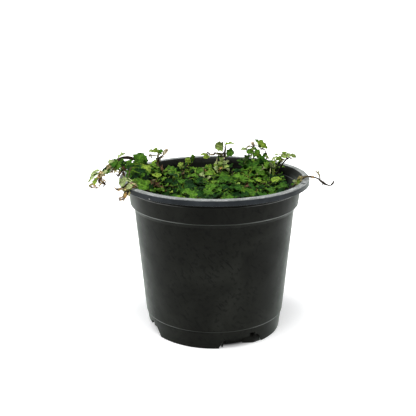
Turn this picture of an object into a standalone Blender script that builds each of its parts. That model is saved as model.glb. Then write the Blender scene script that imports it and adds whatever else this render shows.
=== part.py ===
"""Potted oakleaf creeping fig: a dark nursery pot of soil, planted with creeping stems of small lobed leaves.

Lengths are in millimetres until mesh_object writes them in metres. The origin is on the floor under the
middle of the part, +Z is up, and -Y is the front. The pot stands with its axis on the origin.
"""

import math
import random

import bmesh
import bpy
from mathutils import Vector
from mathutils.bvhtree import BVHTree

METRES = 0.001
UP = Vector((0, 0, 1))

# Pot: the rim sets the width, and the rest follows inward and down from it
RIM_RADIUS = 77.5
POT_HEIGHT = 128.7
WALL = 1.5
FLANGE_WIDTH = 5.1
SKIRT_HEIGHT = 4.5
RIM_CHAMFER = 0.8
BAND_TOP_RADIUS = 70.8
BAND_LOW_RADIUS = 68.9
BAND_TOP = 124.2
BAND_LOW = 107.6
BODY_TOP_RADIUS = 65.8
BODY_TOP = 103.8
SHOULDER_OUT = 1.2
SHOULDER_RISE = 2.6
SHOULDER_THICKENING = 0.3
BODY_LOW_RADIUS = 57.9
FOOT_HEIGHT = 15.0
FOOT_STEP = 0.6
FOOT_TOP_RADIUS = 57.2
FOOT_RADIUS = 55.2
BASE_PLATE = 8.6
BASE_RING_RADIUS = 49.8
BASE_RING_LOW = 1.2
FLOOR_CORNER = 1.0
POT_SIDES = 36

# Drain notches: four, in two pairs, each wider at the floor, with one drain slot above its right end
NOTCH_CENTRES = (24, 107, 204, 287)
NOTCH_HALF_FLOOR = 21
NOTCH_HALF_TOP = 16
NOTCH_HEIGHT = 7.8
NOTCH_DEPTH = 5.0
NOTCH_STEPS = 6
DRAIN_ANGLE = 9
DRAIN_WIDTH = 5.0
DRAIN_REACH = (-5.0, 4.0)
DRAIN_LOW = 5.8
DRAIN_TOP = 10.8

# Soil: it keeps a gap to the pot all round, and each plant stands in a hole in it
SOIL_LEVEL = 110.0
SOIL_GAP = 0.4
SOIL_SIDES = 16
SOIL_RINGS = 4
SOIL_WAVE = 1.0
ROOT_DEPTH = 6.0
ROOT_RADIUS = 1.1
HOLE_GAP = 0.35
HOLE_DEPTH = 7.0
HOLE_HEIGHT = 12.0
HOLE_SIDES = 6

# Plants
LEAF_THICKNESS = 0.65
LEAF_FOLD = 0.3
LEAF_ARCH = 0.35
PETIOLE_WIDTH = 0.9
SHORTEST_PETIOLE = 1.5
LONGEST_PETIOLE = 18.0
STEM_SIDES = 4
STEM_START = 2.5
SPOT_SPACING = 1.5
SPOT_HEIGHT = 1.0
RUNNER_SIDES = 4
NODE_CLEARANCE = 0.35
LEAF_CLEARANCE = 0.12
SEED = 11

# Half of a leaf's outline, as (share of the length, share of the width): heel, lobe, bay, lobe, bay
HALF_LEAF = ((0.0, 0.06), (0.16, 0.42), (0.36, 0.2), (0.66, 0.5), (0.78, 0.18))

# Mat of creeping plantlets
MAT_RADIUS = 64.0
MAT_RIGHT_EDGE = 57.0
MAT_LEVEL = 119.5
MAT_WAVE = 1.2
MAT_SPACING = 9.7
MAT_JITTER = 1.4
CLUMP_CENTRE = (-3.0, 0.0)
CLUMP_RING = 40.0
CLUMP_TURN = 20
RUNNERS_PER_CLUMP = 5
RUNNER_LENGTH = 23.0
RUNNER_STEPS = 4
RUNNER_RADIUS = 0.95
RUNNER_TIP_RADIUS = 0.6
RUNNER_TRIES = 12
RUNNER_HEIGHT = 2.6
RUNNER_TURN = 0.25
RUNNER_SPREAD = 0.3
RUNNER_KEEP_OFF = 2.5
RUNNER_LIFT_SHARE = 0.8
MAT_LEAF_LENGTH = (11.5, 14.5)
MAT_LEAF_WIDTH = (0.9, 1.05)
MAT_LEAF_HEADING = 1.1
MAT_LEAF_PITCH = (-0.35, 0.3)
MAT_LEAF_DEPTH = 4.0
MAT_LEAF_RISE = 3.0
SMALLEST_SHARE = 0.65
LARGEST_STRAY = 4.0
LEAF_TRIES = 90

# Places where the mat mounds up: x, y, reach and extra height
MOUNDS = ((44, 42, 20, 9.0), (-56, 8, 26, 10.0), (-50, -34, 16, 6.0))


def mesh_object(name, vertices, faces, material=None):
    """Makes an object in metres from points in millimetres, with its faces pointing out."""
    mesh = bpy.data.meshes.new(name)
    bm = bmesh.new()
    points = [bm.verts.new(Vector(vertex) * METRES) for vertex in vertices]
    for face in faces:
        bm.faces.new([points[index] for index in face])
    bmesh.ops.recalc_face_normals(bm, faces=bm.faces)
    bm.to_mesh(mesh)
    bm.free()
    if material:
        mesh.materials.append(material)
    obj = bpy.data.objects.new(name, mesh)
    bpy.context.scene.collection.objects.link(obj)
    return obj


def plain_material(name, colour, roughness):
    material = bpy.data.materials.new(name)
    material.use_nodes = True
    shader = material.node_tree.nodes["Principled BSDF"]
    shader.inputs["Base Color"].default_value = (*colour, 1)
    shader.inputs["Roughness"].default_value = roughness
    shader.inputs["Metallic"].default_value = 0.0
    return material


def boolean_with(obj, others, operation, solver="EXACT"):
    """Joins the other objects to obj, or cuts them from it, in one step, and removes them."""
    group = bpy.data.collections.new(obj.name + "_tools")
    bpy.context.scene.collection.children.link(group)
    for other in others:
        group.objects.link(other)
        bpy.context.scene.collection.objects.unlink(other)
        other.hide_render = True
        other.display_type = "WIRE"
    modifier = obj.modifiers.new(operation.title(), "BOOLEAN")
    modifier.operation = operation
    modifier.operand_type = "COLLECTION"
    modifier.collection = group
    modifier.solver = solver
    evaluated = obj.evaluated_get(bpy.context.evaluated_depsgraph_get())
    result = bpy.data.meshes.new_from_object(evaluated)
    obj.modifiers.clear()
    obj.data = result
    for other in others:
        bpy.data.objects.remove(other)
    bpy.data.collections.remove(group)


def turned(profile, sides):
    """The points and faces of a profile of (radius, height) turned round Z.

    Radius 0 is one point on the axis.
    """
    vertices = []
    rings = []
    for radius, height in profile:
        count = sides if radius > 0 else 1
        rings.append(range(len(vertices), len(vertices) + count))
        for step in range(count):
            angle = math.tau * step / sides
            vertices.append((radius * math.cos(angle), radius * math.sin(angle), height))
    faces = []
    for low, high in zip(rings, rings[1:]):
        for step in range(sides):
            after = (step + 1) % sides
            corners = [low[step % len(low)], low[after % len(low)]]
            corners += [high[after % len(high)], high[step % len(high)]]
            faces.append(list(dict.fromkeys(corners)))
    return vertices, faces


def pot_outside():
    """The pot's outer profile, from its axis under the base plate out and up to the rim's outer edge."""
    foot_at_plate = FOOT_RADIUS + (FOOT_TOP_RADIUS - FOOT_RADIUS) * BASE_PLATE / FOOT_HEIGHT
    flange_under = POT_HEIGHT - WALL
    return [
        (0, BASE_PLATE),
        (BASE_RING_RADIUS - WALL, BASE_PLATE),
        (BASE_RING_RADIUS - WALL, BASE_RING_LOW),
        (BASE_RING_RADIUS, BASE_RING_LOW),
        (BASE_RING_RADIUS, BASE_PLATE),
        (foot_at_plate - WALL, BASE_PLATE),
        (FOOT_RADIUS - WALL, 0),
        (FOOT_RADIUS, 0),
        (FOOT_TOP_RADIUS, FOOT_HEIGHT),
        (BODY_LOW_RADIUS, FOOT_HEIGHT + FOOT_STEP),
        (BODY_TOP_RADIUS, BODY_TOP),
        (BODY_TOP_RADIUS + SHOULDER_OUT, BODY_TOP + SHOULDER_RISE),
        (BAND_LOW_RADIUS, BAND_LOW),
        (BAND_TOP_RADIUS, BAND_TOP),
        (BAND_TOP_RADIUS + WALL, flange_under),
        (RIM_RADIUS - WALL, flange_under),
        (RIM_RADIUS - WALL, POT_HEIGHT - SKIRT_HEIGHT),
        (RIM_RADIUS, POT_HEIGHT - SKIRT_HEIGHT),
        (RIM_RADIUS, POT_HEIGHT - RIM_CHAMFER),
    ]


def pot_cavity():
    """The inner profile round the soil, from the band's lower edge down to the floor."""
    floor = BASE_PLATE + WALL
    return [
        (BAND_LOW_RADIUS - WALL, BAND_LOW + SHOULDER_THICKENING),
        (BODY_TOP_RADIUS + SHOULDER_OUT - WALL, BODY_TOP + SHOULDER_RISE + SHOULDER_THICKENING),
        (BODY_TOP_RADIUS - WALL, BODY_TOP + SHOULDER_THICKENING),
        (FOOT_TOP_RADIUS - WALL, floor + FLOOR_CORNER),
        (FOOT_TOP_RADIUS - WALL - FLOOR_CORNER, floor),
        (0, floor),
    ]


def pot_inside():
    """The pot's inner profile, from the flange's top down to the axis on the base plate."""
    return [
        (RIM_RADIUS - RIM_CHAMFER, POT_HEIGHT),
        (RIM_RADIUS - FLANGE_WIDTH, POT_HEIGHT),
        (BAND_TOP_RADIUS, POT_HEIGHT - WALL),
        (BAND_TOP_RADIUS - WALL, BAND_TOP),
        *pot_cavity(),
    ]


def front_angle(degrees):
    """A direction in the ground plane, as degrees from the front towards +X."""
    turn = math.radians(degrees)
    return Vector((math.sin(turn), -math.cos(turn), 0))


def notch_cutter(centre):
    """A block round the foot whose sides slope in towards its top."""
    steps = NOTCH_STEPS
    inner = FOOT_RADIUS - NOTCH_DEPTH
    outer = FOOT_TOP_RADIUS + 3
    vertices = []
    for step in range(steps + 1):
        share = 2 * step / steps - 1
        for radius in (inner, outer):
            for half_width, height in ((NOTCH_HALF_FLOOR, -1), (NOTCH_HALF_TOP, NOTCH_HEIGHT)):
                vertices.append(front_angle(centre + share * half_width) * radius + UP * height)
    faces = [(0, 1, 3, 2), (4 * steps, 4 * steps + 2, 4 * steps + 3, 4 * steps + 1)]
    for first in range(0, 4 * steps, 4):
        for one, other in ((0, 1), (1, 3), (3, 2), (2, 0)):
            faces.append((first + one, first + other, first + 4 + other, first + 4 + one))
    return mesh_object("notch_cutter", vertices, faces)


def drain_cutter(centre):
    """A narrow block that opens the corner of the base plate and the foot."""
    outward = front_angle(centre)
    side = Vector((-outward.y, outward.x, 0)) * DRAIN_WIDTH / 2
    corners = []
    inner, outer = (FOOT_RADIUS + reach for reach in DRAIN_REACH)
    for height in (DRAIN_LOW, DRAIN_TOP):
        for radius, way in ((inner, -1), (outer, -1), (outer, 1), (inner, 1)):
            corners.append(outward * radius + side * way + UP * height)
    faces = [(0, 1, 2, 3), (4, 5, 6, 7), (0, 1, 5, 4), (1, 2, 6, 5), (2, 3, 7, 6), (3, 0, 4, 7)]
    return mesh_object("drain_cutter", corners, faces)


def build_pot():
    plastic = plain_material("black_plastic", (0.018, 0.019, 0.02), 0.42)
    vertices, faces = turned(pot_outside() + pot_inside(), POT_SIDES)
    pot = mesh_object("nursery_pot", vertices, faces, plastic)
    cutters = [notch_cutter(centre) for centre in NOTCH_CENTRES]
    cutters += [drain_cutter(centre + DRAIN_ANGLE) for centre in NOTCH_CENTRES]
    boolean_with(pot, cutters, "DIFFERENCE")
    pot.data.shade_smooth()
    pot.data.set_sharp_from_angle(angle=math.radians(30))


def soil_height(x, y):
    """The soil's surface: low waves that flatten towards the wall."""
    waves = math.sin(0.15 * x + 0.8) * math.cos(0.12 * y) + 0.5 * math.sin(0.2 * y + 0.08 * x)
    edge = min(1.0, math.hypot(x, y) / BAND_LOW_RADIUS)
    return SOIL_LEVEL + SOIL_WAVE * waves * (1 - edge ** 3)


def soil_profile():
    """The soil's profile: the pot's cavity, a gap smaller, and then in over the surface to the axis."""
    outer = [(max(0, radius - SOIL_GAP), height + SOIL_GAP) for radius, height in reversed(pot_cavity())]
    edge = BAND_LOW_RADIUS - WALL - SOIL_GAP
    top = [(edge * (SOIL_RINGS - ring) / SOIL_RINGS, SOIL_LEVEL) for ring in range(SOIL_RINGS + 1)]
    return outer + top


def build_soil(roots):
    """The soil with a plain hole at each root's place."""
    earth = plain_material("potting_soil", (0.025, 0.017, 0.011), 0.95)
    vertices, faces = turned(soil_profile(), SOIL_SIDES)
    shaped = [(x, y, soil_height(x, y) if z == SOIL_LEVEL else z) for x, y, z in vertices]
    soil = mesh_object("potting_soil", shaped, faces, earth)
    radius = (ROOT_RADIUS + HOLE_GAP) / math.cos(math.pi / HOLE_SIDES)
    holes = []
    for x, y in roots:
        low = soil_height(x, y) - HOLE_DEPTH
        high = low + HOLE_HEIGHT
        points, sides = turned([(0, low), (radius, low), (radius, high), (0, high)], HOLE_SIDES)
        holes.append(mesh_object("hole", [(x + a, y + b, c) for a, b, c in points], sides))
    boolean_with(soil, holes, "DIFFERENCE")


def tube(points, radii, sides):
    """A closed tube along the points, with a radius at each."""
    vertices = []
    side = None
    for index, point in enumerate(points):
        before = points[max(index - 1, 0)]
        after = points[min(index + 1, len(points) - 1)]
        along = (after - before).normalized()
        if side is None:
            side = along.orthogonal().normalized()
        side = (side - along * side.dot(along)).normalized()
        other = along.cross(side)
        for step in range(sides):
            angle = math.tau * step / sides
            spoke = side * math.cos(angle) + other * math.sin(angle)
            vertices.append(point + spoke * radii[index])
    faces = [tuple(range(sides)), tuple(range(len(vertices) - sides, len(vertices)))]
    for ring in range(0, len(vertices) - sides, sides):
        for step in range(sides):
            after = (step + 1) % sides
            faces.append((ring + step, ring + after, ring + sides + after, ring + sides + step))
    return vertices, faces


def tapered(points, start, end):
    last = len(points) - 1
    return [start + (end - start) * index / last for index in range(len(points))]


def leaf_solid(root, heel, tip, width, face, grow=0.0, petiole=True):
    """A lobed leaf as a closed slab, with its petiole running from root to heel.

    grow widens and thickens it for a clearance test. Both faces are split into triangles alike.
    """
    along = (tip - heel).normalized()
    length = (tip - heel).length
    across = face.cross(along).normalized()
    normal = along.cross(across)
    stalk = (heel - root).normalized()
    stalk_side = (across - stalk * across.dot(stalk)).normalized()
    stalk_normal = stalk.cross(stalk_side)
    bend = (normal + stalk_normal).normalized()
    half = LEAF_THICKNESS / 2 + grow

    right = []
    left = []
    for share, spread in HALF_LEAF:
        lift = normal * (LEAF_FOLD * spread * width + LEAF_ARCH * share * (1 - share) * length)
        middle = heel + along * (share * length) + lift
        reach = across * (spread * width + grow)
        right.append(middle - reach)
        left.append(middle + reach)
    if petiole:
        stalk_reach = stalk_side * (PETIOLE_WIDTH / 2 + grow)
        right[0] = heel - across * (PETIOLE_WIDTH / 2 + grow)
        left[0] = heel + across * (PETIOLE_WIDTH / 2 + grow)
        right.insert(0, root - stalk_reach)
        left.insert(0, root + stalk_reach)
    outline = right + [tip + along * grow] + left[::-1]
    thick = [normal] * len(outline)
    if petiole:
        thick[0] = thick[-1] = stalk_normal
        thick[1] = thick[-2] = bend
    top = [point + way * half for point, way in zip(outline, thick)]
    bottom = [point - way * half for point, way in zip(outline, thick)]

    count = len(outline)
    first = 1 if petiole else 0
    triangles = []
    if petiole:
        triangles += [(0, 1, count - 2), (0, count - 2, count - 1)]
    for lobe in (first, first + 2):
        heel_right, lobe_right, bay_right = lobe, lobe + 1, lobe + 2
        heel_left, lobe_left, bay_left = (count - 1 - index for index in (heel_right, lobe_right, bay_right))
        triangles += [(heel_right, lobe_right, bay_right), (heel_left, bay_left, lobe_left)]
        triangles += [(heel_right, bay_right, bay_left), (heel_right, bay_left, heel_left)]
    last = first + 4
    triangles.append((last, last + 1, count - 1 - last))
    faces = list(triangles)
    faces += [(c + count, b + count, a + count) for a, b, c in triangles]
    for index in range(count):
        after = (index + 1) % count
        faces.append((after, index, index + count))
        faces.append((after, index + count, after + count))
    return top + bottom, faces


class Solid:
    """One stem or leaf, with what a clearance test needs."""

    def __init__(self, shape, owner, is_stem):
        self.vertices, self.faces = shape
        self.owner = owner
        self.is_stem = is_stem
        self.tree = BVHTree.FromPolygons(self.vertices, self.faces)
        self.low = [min(vertex[axis] for vertex in self.vertices) for axis in range(3)]
        self.high = [max(vertex[axis] for vertex in self.vertices) for axis in range(3)]

    def meets(self, other):
        for axis in range(3):
            if self.low[axis] > other.high[axis] or other.low[axis] > self.high[axis]:
                return False
        return bool(self.tree.overlap(other.tree))


class Plant:
    """One rooted plant: its stems, the places along them where leaves can grow, and its leaves."""

    def __init__(self, name, root):
        self.name = name
        self.root = root
        self.solids = []
        self.spots = []

    def add_stem(self, points, start, end, sides):
        shape = tube(points, tapered(points, start, end), sides)
        self.solids.append(Solid(shape, self.name, True))
        for one, other in zip(points, points[1:]):
            steps = max(1, round((other - one).length / SPOT_SPACING))
            self.spots += [one.lerp(other, step / steps) for step in range(steps + 1)]

    def nearest_spot(self, point):
        ground = soil_height(point.x, point.y)
        above = [spot for spot in self.spots if spot.z > ground + SPOT_HEIGHT]
        return min(above, key=lambda spot: (spot - point).length_squared)

    def add_leaf(self, heel, tip, width, face):
        root = self.nearest_spot(heel)
        if (heel - root).length < SHORTEST_PETIOLE:
            heel = root + (tip - root).normalized() * SHORTEST_PETIOLE
        shape = leaf_solid(root, heel, tip, width, face)
        self.solids.append(Solid(shape, self.name, False))

    def build(self, material):
        base, *rest = (mesh_object(self.name, solid.vertices, solid.faces, material) for solid in self.solids)
        base.name = self.name
        boolean_with(base, rest, "UNION")


def rooted(x, y, *points):
    """A stem's points: a straight root in the soil at x, y, and then the points above it."""
    ground = soil_height(x, y)
    return [Vector((x, y, ground - ROOT_DEPTH)), Vector((x, y, ground + STEM_START)), *map(Vector, points)]


# The plants that stand out of the mat, each with its stems, then its leaves as
# (heel, tip, width, the way the upper face looks)


def trailing_stem_upper():
    """A stem that arches over the left of the rim and hangs outside it."""
    plant = Plant("trailing_stem_upper", (-52, 6))
    main = rooted(*plant.root, (-54, 7, 121), (-59, 8, 134), (-65.7, 8, 141), (-70.9, 6, 142.7))
    main += map(Vector, ((-75.5, 3, 143), (-78.5, 0, 141.6), (-82.1, -4, 139.6), (-85.7, -8, 137.2)))
    main.append(Vector((-88.1, -12, 134.4)))
    main += map(Vector, ((-91.2, -16, 132.1), (-93.9, -20, 129), (-95.4, -22, 126.2)))
    plant.add_stem(main, ROOT_RADIUS, 0.6, STEM_SIDES)
    side = [(-63, 8, 138.3), (-67, 0, 137.5), (-71.8, -4, 136), (-75.5, -6.5, 133.4), (-79, -8, 129.8)]
    plant.add_stem([Vector(point) for point in side], 0.7, 0.55, STEM_SIDES)
    inner = [(-67, 0, 137.5), (-67.6, -11, 136.2), (-68, -19, 133.4), (-68.7, -22, 132)]
    plant.add_stem([Vector(point) for point in inner], 0.65, 0.5, STEM_SIDES)
    curl = [(-91.2, -16, 132.1), (-91.4, -19, 127.6), (-88.5, -19.5, 126.5), (-86, -18, 128.3)]
    plant.add_stem([Vector(point) for point in curl], 0.55, 0.45, STEM_SIDES)
    plant.leaves = [
        ((-60, 2.5, 136.5), (-61.5, 7.5, 146), 11.5, (0, -0.85, 0.5)),
        ((-78.5, 2.2, 144.4), (-72.4, 4, 146.8), 5, (-0.46, 0.25, 0.85)),
        ((-81.6, -5.5, 141.2), (-87, -7.5, 141.4), 6.5, (-0.2, -0.6, 0.75)),
        ((-75.6, -5.6, 141.4), (-78.4, -9, 135.2), 7.5, (0, -0.9, 0.4)),
        ((-66, -2.5, 141), (-73.6, -3.5, 139.6), 8.5, (0, -0.7, 0.7)),
        ((-82.5, -9, 138), (-85.6, -12.5, 133.9), 5.5, (-0.3, -0.8, 0.5)),
        ((-88.5, -14.5, 133.2), (-93.2, -19, 131), 5, (-0.2, -0.8, 0.5)),
        ((-92, -15, 136.4), (-97.8, -19.5, 132.8), 4.5, (-0.5, -0.2, 0.8)),
        ((-93, -18.5, 133.8), (-99.5, -24.5, 128.4), 5, (-0.6, -0.3, 0.7)),
        ((-93.5, -21, 129.4), (-94.6, -24, 124.4), 4.5, (0, -0.9, 0.3)),
        ((-96.3, -22.4, 125.2), (-99.3, -26, 122.8), 4, (0, -0.6, 0.8)),
        ((-76.5, -7.6, 131.4), (-79.5, -11, 127.4), 3, (-0.6, -0.3, 0.6)),
        ((-67.5, -13.5, 137.2), (-64.4, -20.6, 134.4), 7.5, (-0.2, -0.6, 0.8)),
        ((-69, -23.2, 133), (-76.2, -27.5, 130.9), 7.5, (-0.2, -0.5, 0.85)),
        ((-71.5, -5.5, 137.6), (-75.4, -12.5, 135.4), 7, (-0.3, -0.5, 0.8)),
        ((-76.4, 4.4, 141.8), (-82, 6.4, 140), 7, (-0.3, 0, 0.95)),
    ]
    return plant


def trailing_stem_lower():
    """A stem that creeps over the front left of the rim, with dried, curled ends."""
    plant = Plant("trailing_stem_lower", (-50, -24))
    main = rooted(*plant.root, (-52, -25, 120), (-57, -29, 127.5), (-61, -32.5, 131.1))
    main.append(Vector((-64.2, -35, 131.5)))
    main += map(Vector, ((-66.8, -38, 131.2), (-69.5, -40.5, 129.2), (-72.5, -42, 128), (-75, -42.5, 128.7)))
    plant.add_stem(main, ROOT_RADIUS, 0.5, STEM_SIDES)
    down = [(-68.8, -39.9, 129.8), (-68.4, -44, 127.3), (-69.5, -46.2, 124), (-71, -47.2, 122.2)]
    plant.add_stem([Vector(point) for point in down], 0.6, 0.45, STEM_SIDES)
    inner = [(-57, -29, 127.5), (-53, -35, 126), (-47, -41, 125.4)]
    plant.add_stem([Vector(point) for point in inner], 0.65, 0.5, STEM_SIDES)
    plant.leaves = [
        ((-63.4, -35.4, 133.2), (-68.4, -37, 133.6), 6, (0, -0.6, 0.8)),
        ((-70.5, -41.5, 130.8), (-74, -45.5, 129.2), 4.5, (-0.2, -0.6, 0.8)),
        ((-74.4, -43.4, 129.6), (-78, -44.5, 129.8), 3.5, (0, -0.4, 0.9)),
        ((-68, -45, 126.6), (-65.2, -47.4, 124.6), 4.5, (0.3, -0.6, 0.7)),
        ((-68.6, -47.6, 123.4), (-66.4, -49.6, 121.4), 4, (0.2, -0.8, 0.5)),
        ((-71.6, -48, 121.6), (-73.6, -48.8, 119), 4.5, (-0.4, -0.8, 0.2)),
        ((-60, -34.6, 132), (-49.4, -40.2, 130.2), 10.5, (0.1, -0.5, 0.85)),
        ((-47, -42, 126), (-40.6, -46.4, 127), 6.5, (0, -0.5, 0.85)),
        ((-50, -38.6, 127.2), (-53.6, -44.6, 130.4), 7, (-0.1, -0.4, 0.9)),
        ((-57, -27, 129.6), (-54.4, -19.4, 130.6), 8, (-0.1, -0.2, 0.95)),
    ]
    return plant


def upright_sprig_1():
    """The sprig at the back left, with a flat top pair and a bare side shoot."""
    plant = Plant("upright_sprig_1", (-45, 32))
    main = rooted(*plant.root, (-46, 33, 119), (-49.6, 35.5, 127.8), (-48.1, 36, 134.9), (-48.6, 36, 137.8))
    main.append(Vector((-47.8, 36, 141.6)))
    plant.add_stem(main, ROOT_RADIUS, 0.6, STEM_SIDES)
    side = [(-48.1, 36, 134.9), (-45.2, 34.6, 137.4), (-41.2, 34, 140), (-41, 34, 142.8)]
    plant.add_stem([Vector(point) for point in side], 0.65, 0.5, STEM_SIDES)
    plant.leaves = [
        ((-47, 35.2, 141.8), (-43.4, 29.6, 141), 6.5, (0.1, 0.1, 1)),
        ((-49.4, 36.6, 142), (-57, 35, 141.2), 6.5, (-0.1, 0, 1)),
        ((-47.4, 38.4, 139.4), (-46.6, 44.2, 140.6), 6, (0, -0.2, 1)),
        ((-51.6, 35, 135.4), (-56.4, 34, 138.4), 4.5, (0.3, -0.7, 0.6)),
        ((-50.4, 33.6, 131.6), (-54.4, 29.4, 129.6), 5, (-0.5, -0.3, 0.8)),
        ((-41.2, 33.6, 143.6), (-43, 32.4, 146), 3.5, (-0.5, -0.6, 0.5)),
    ]
    return plant


def upright_sprig_2():
    """The sprig at the middle of the back, with a side shoot along the rim."""
    plant = Plant("upright_sprig_2", (6, 49))
    main = rooted(*plant.root, (6.5, 50, 118), (9, 54.5, 128.4), (9, 56, 132.7), (9.7, 56, 140.4))
    main.append(Vector((10, 56, 142.2)))
    plant.add_stem(main, ROOT_RADIUS, 0.55, STEM_SIDES)
    side = [(9, 55.5, 131), (5.4, 56, 133.6), (0.6, 56, 134.6), (-2.6, 56, 134.3)]
    plant.add_stem([Vector(point) for point in side], 0.6, 0.45, STEM_SIDES)
    plant.leaves = [
        ((8.2, 54.8, 140.4), (0.2, 53, 143.2), 8.5, (0, -0.9, 0.45)),
        ((11.2, 56, 143.2), (17.6, 56, 143.6), 6, (0, 0.28, 0.96)),
        ((10.8, 54.6, 136), (18, 53.6, 137), 9, (0, -0.85, 0.5)),
        ((-4.3, 56, 134.6), (-12.8, 54, 133.8), 7, (0, -0.5, 0.85)),
        ((3.6, 56, 135.6), (2.2, 55.4, 139.4), 3, (-0.6, -0.7, 0.3)),
        ((8, 52.6, 125.6), (1.4, 49.4, 125.2), 7, (-0.1, -0.5, 0.85)),
        ((10.2, 52.6, 127.4), (16.4, 49, 127), 7, (0.1, -0.5, 0.85)),
    ]
    return plant


def upright_sprig_3():
    """The sprig right of the middle at the back, with a second stem that hooks over."""
    plant = Plant("upright_sprig_3", (31, 45))
    main = rooted(*plant.root, (31.6, 46, 118), (34.6, 52.6, 127), (34.6, 54, 134), (34.1, 54, 138.6))
    main += map(Vector, ((35, 54, 142.2), (34, 54, 145)))
    plant.add_stem(main, ROOT_RADIUS, 0.55, STEM_SIDES)
    hook = [(34.6, 52.6, 127), (41, 52, 127.6), (46.1, 52, 131.3), (45.6, 53, 136.4), (43.8, 53, 139.6)]
    hook.append((40.6, 52.4, 140.4))
    plant.add_stem([Vector(point) for point in hook], 0.65, 0.5, STEM_SIDES)
    plant.leaves = [
        ((40.2, 51.3, 141.6), (42.3, 54.6, 148.4), 12, (-0.1, -0.9, 0.42)),
        ((32.6, 54, 142.6), (24, 53, 139.4), 5.5, (-0.3, 0.2, 0.93)),
        ((33, 52.8, 136.8), (26.4, 50, 134.6), 8, (0, -0.9, 0.4)),
        ((36, 52.6, 134.4), (40.2, 49.6, 130), 8, (0, -0.9, 0.4)),
        ((45, 51.6, 134.4), (43.2, 49.4, 130.4), 3.5, (-0.2, -0.9, 0.3)),
        ((46.6, 52.2, 134.8), (50.6, 51, 131.8), 4, (0.3, -0.7, 0.6)),
        ((40, 53.6, 129), (38.6, 60.6, 129.4), 7, (0, 0.2, 0.95)),
    ]
    return plant


def upright_sprig_4():
    """The sprig at the back right, with flat leaves over the rim."""
    plant = Plant("upright_sprig_4", (50, 24))
    main = rooted(*plant.root, (51, 24.5, 118), (56, 26, 128.6), (58.8, 26, 133.6), (62, 25, 137.8))
    plant.add_stem(main, ROOT_RADIUS, 0.6, STEM_SIDES)
    plant.leaves = [
        ((58.6, 23.8, 138), (51.4, 21.4, 137), 6, (-0.1, -0.5, 0.87)),
        ((62.4, 26.4, 140.4), (54, 25.6, 141), 8.5, (0, -0.3, 0.95)),
        ((64, 25.4, 138.8), (70.2, 24.4, 138.6), 6.5, (0.2, -0.5, 0.85)),
        ((53.4, 22.6, 128.4), (48.4, 17.6, 129.8), 7, (-0.2, -0.4, 0.9)),
        ((58, 28, 131.6), (54.6, 33.4, 132.8), 6.5, (0, -0.2, 0.95)),
    ]
    return plant


def bare_twig():
    """The thin twig that leans over the right of the rim, with tiny leaves at its start."""
    plant = Plant("bare_twig", (58, -15))
    main = rooted(*plant.root, (61, -15.6, 119), (64.6, -16, 125.5), (67.3, -15.2, 129.2))
    main += map(Vector, ((70.8, -13.4, 130.6), (75.5, -10, 130.2), (79.8, -8, 129.4), (84.3, -5, 126.9)))
    main.append(Vector((89.9, -1, 122.9)))
    main += map(Vector, ((93, 1, 120.4), (95.7, 3, 119.4), (97.9, 5, 120.1), (99.4, 7, 122.2)))
    plant.add_stem(main, 0.85, 0.5, STEM_SIDES)
    shoot = [(86.2, -3.6, 125.8), (85.8, -4.4, 128.6), (84.1, -5, 131.5), (81.9, -6, 134.2)]
    plant.add_stem([Vector(point) for point in shoot], 0.5, 0.4, STEM_SIDES)
    plant.leaves = [
        ((63.4, -13.8, 125), (59.8, -11.6, 126.2), 4.5, (-0.3, -0.3, 0.9)),
        ((62.6, -17.8, 124.4), (59.6, -21.4, 124.8), 4.5, (-0.2, -0.4, 0.9)),
        ((67, -13.6, 130.4), (65.4, -9.2, 130.2), 4.5, (-0.2, -0.3, 0.9)),
        ((84.6, -4.4, 131.8), (85.6, -3.4, 134.6), 2.5, (0.3, -0.8, 0.3)),
    ]
    return plant


def mat_height(x, y):
    """Where the mat's leaves lie: nearly level, with mounds."""
    height = MAT_LEVEL + MAT_WAVE * math.sin(0.19 * x + 0.5) * math.cos(0.23 * y)
    for mound_x, mound_y, reach, rise in MOUNDS:
        distance = math.hypot(x - mound_x, y - mound_y)
        height += rise * max(0.0, 1 - (distance / reach) ** 2)
    return height


def in_mat(x, y):
    return math.hypot(x, y) < MAT_RADIUS and x < MAT_RIGHT_EDGE


def clump_roots():
    centre_x, centre_y = CLUMP_CENTRE
    roots = [(centre_x, centre_y)]
    for step in range(6):
        angle = math.radians(CLUMP_TURN + 60 * step)
        roots.append((centre_x + CLUMP_RING * math.cos(angle), centre_y + CLUMP_RING * math.sin(angle)))
    return roots


def runner_points(root, heading, others, rng):
    """A runner's route over the soil, which stops before the mat's edge or another plantlet's ground."""
    x, y = root
    points = [Vector((x, y, soil_height(x, y) + RUNNER_HEIGHT / 2))]
    turn = rng.uniform(-RUNNER_TURN, RUNNER_TURN)
    step = RUNNER_LENGTH / RUNNER_STEPS
    for _ in range(RUNNER_STEPS):
        heading += turn
        x += step * math.cos(heading)
        y += step * math.sin(heading)
        own = math.hypot(x - root[0], y - root[1])
        nearest = min(math.hypot(x - a, y - b) for a, b in others)
        if not in_mat(x, y) or own + RUNNER_KEEP_OFF > nearest:
            break
        rise = RUNNER_LIFT_SHARE * (mat_height(x, y) - MAT_LEVEL)
        points.append(Vector((x, y, soil_height(x, y) + RUNNER_HEIGHT + max(0.0, rise))))
    return points


def free_of(solid, others):
    return not any(solid.meets(other) for other in others)


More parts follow.
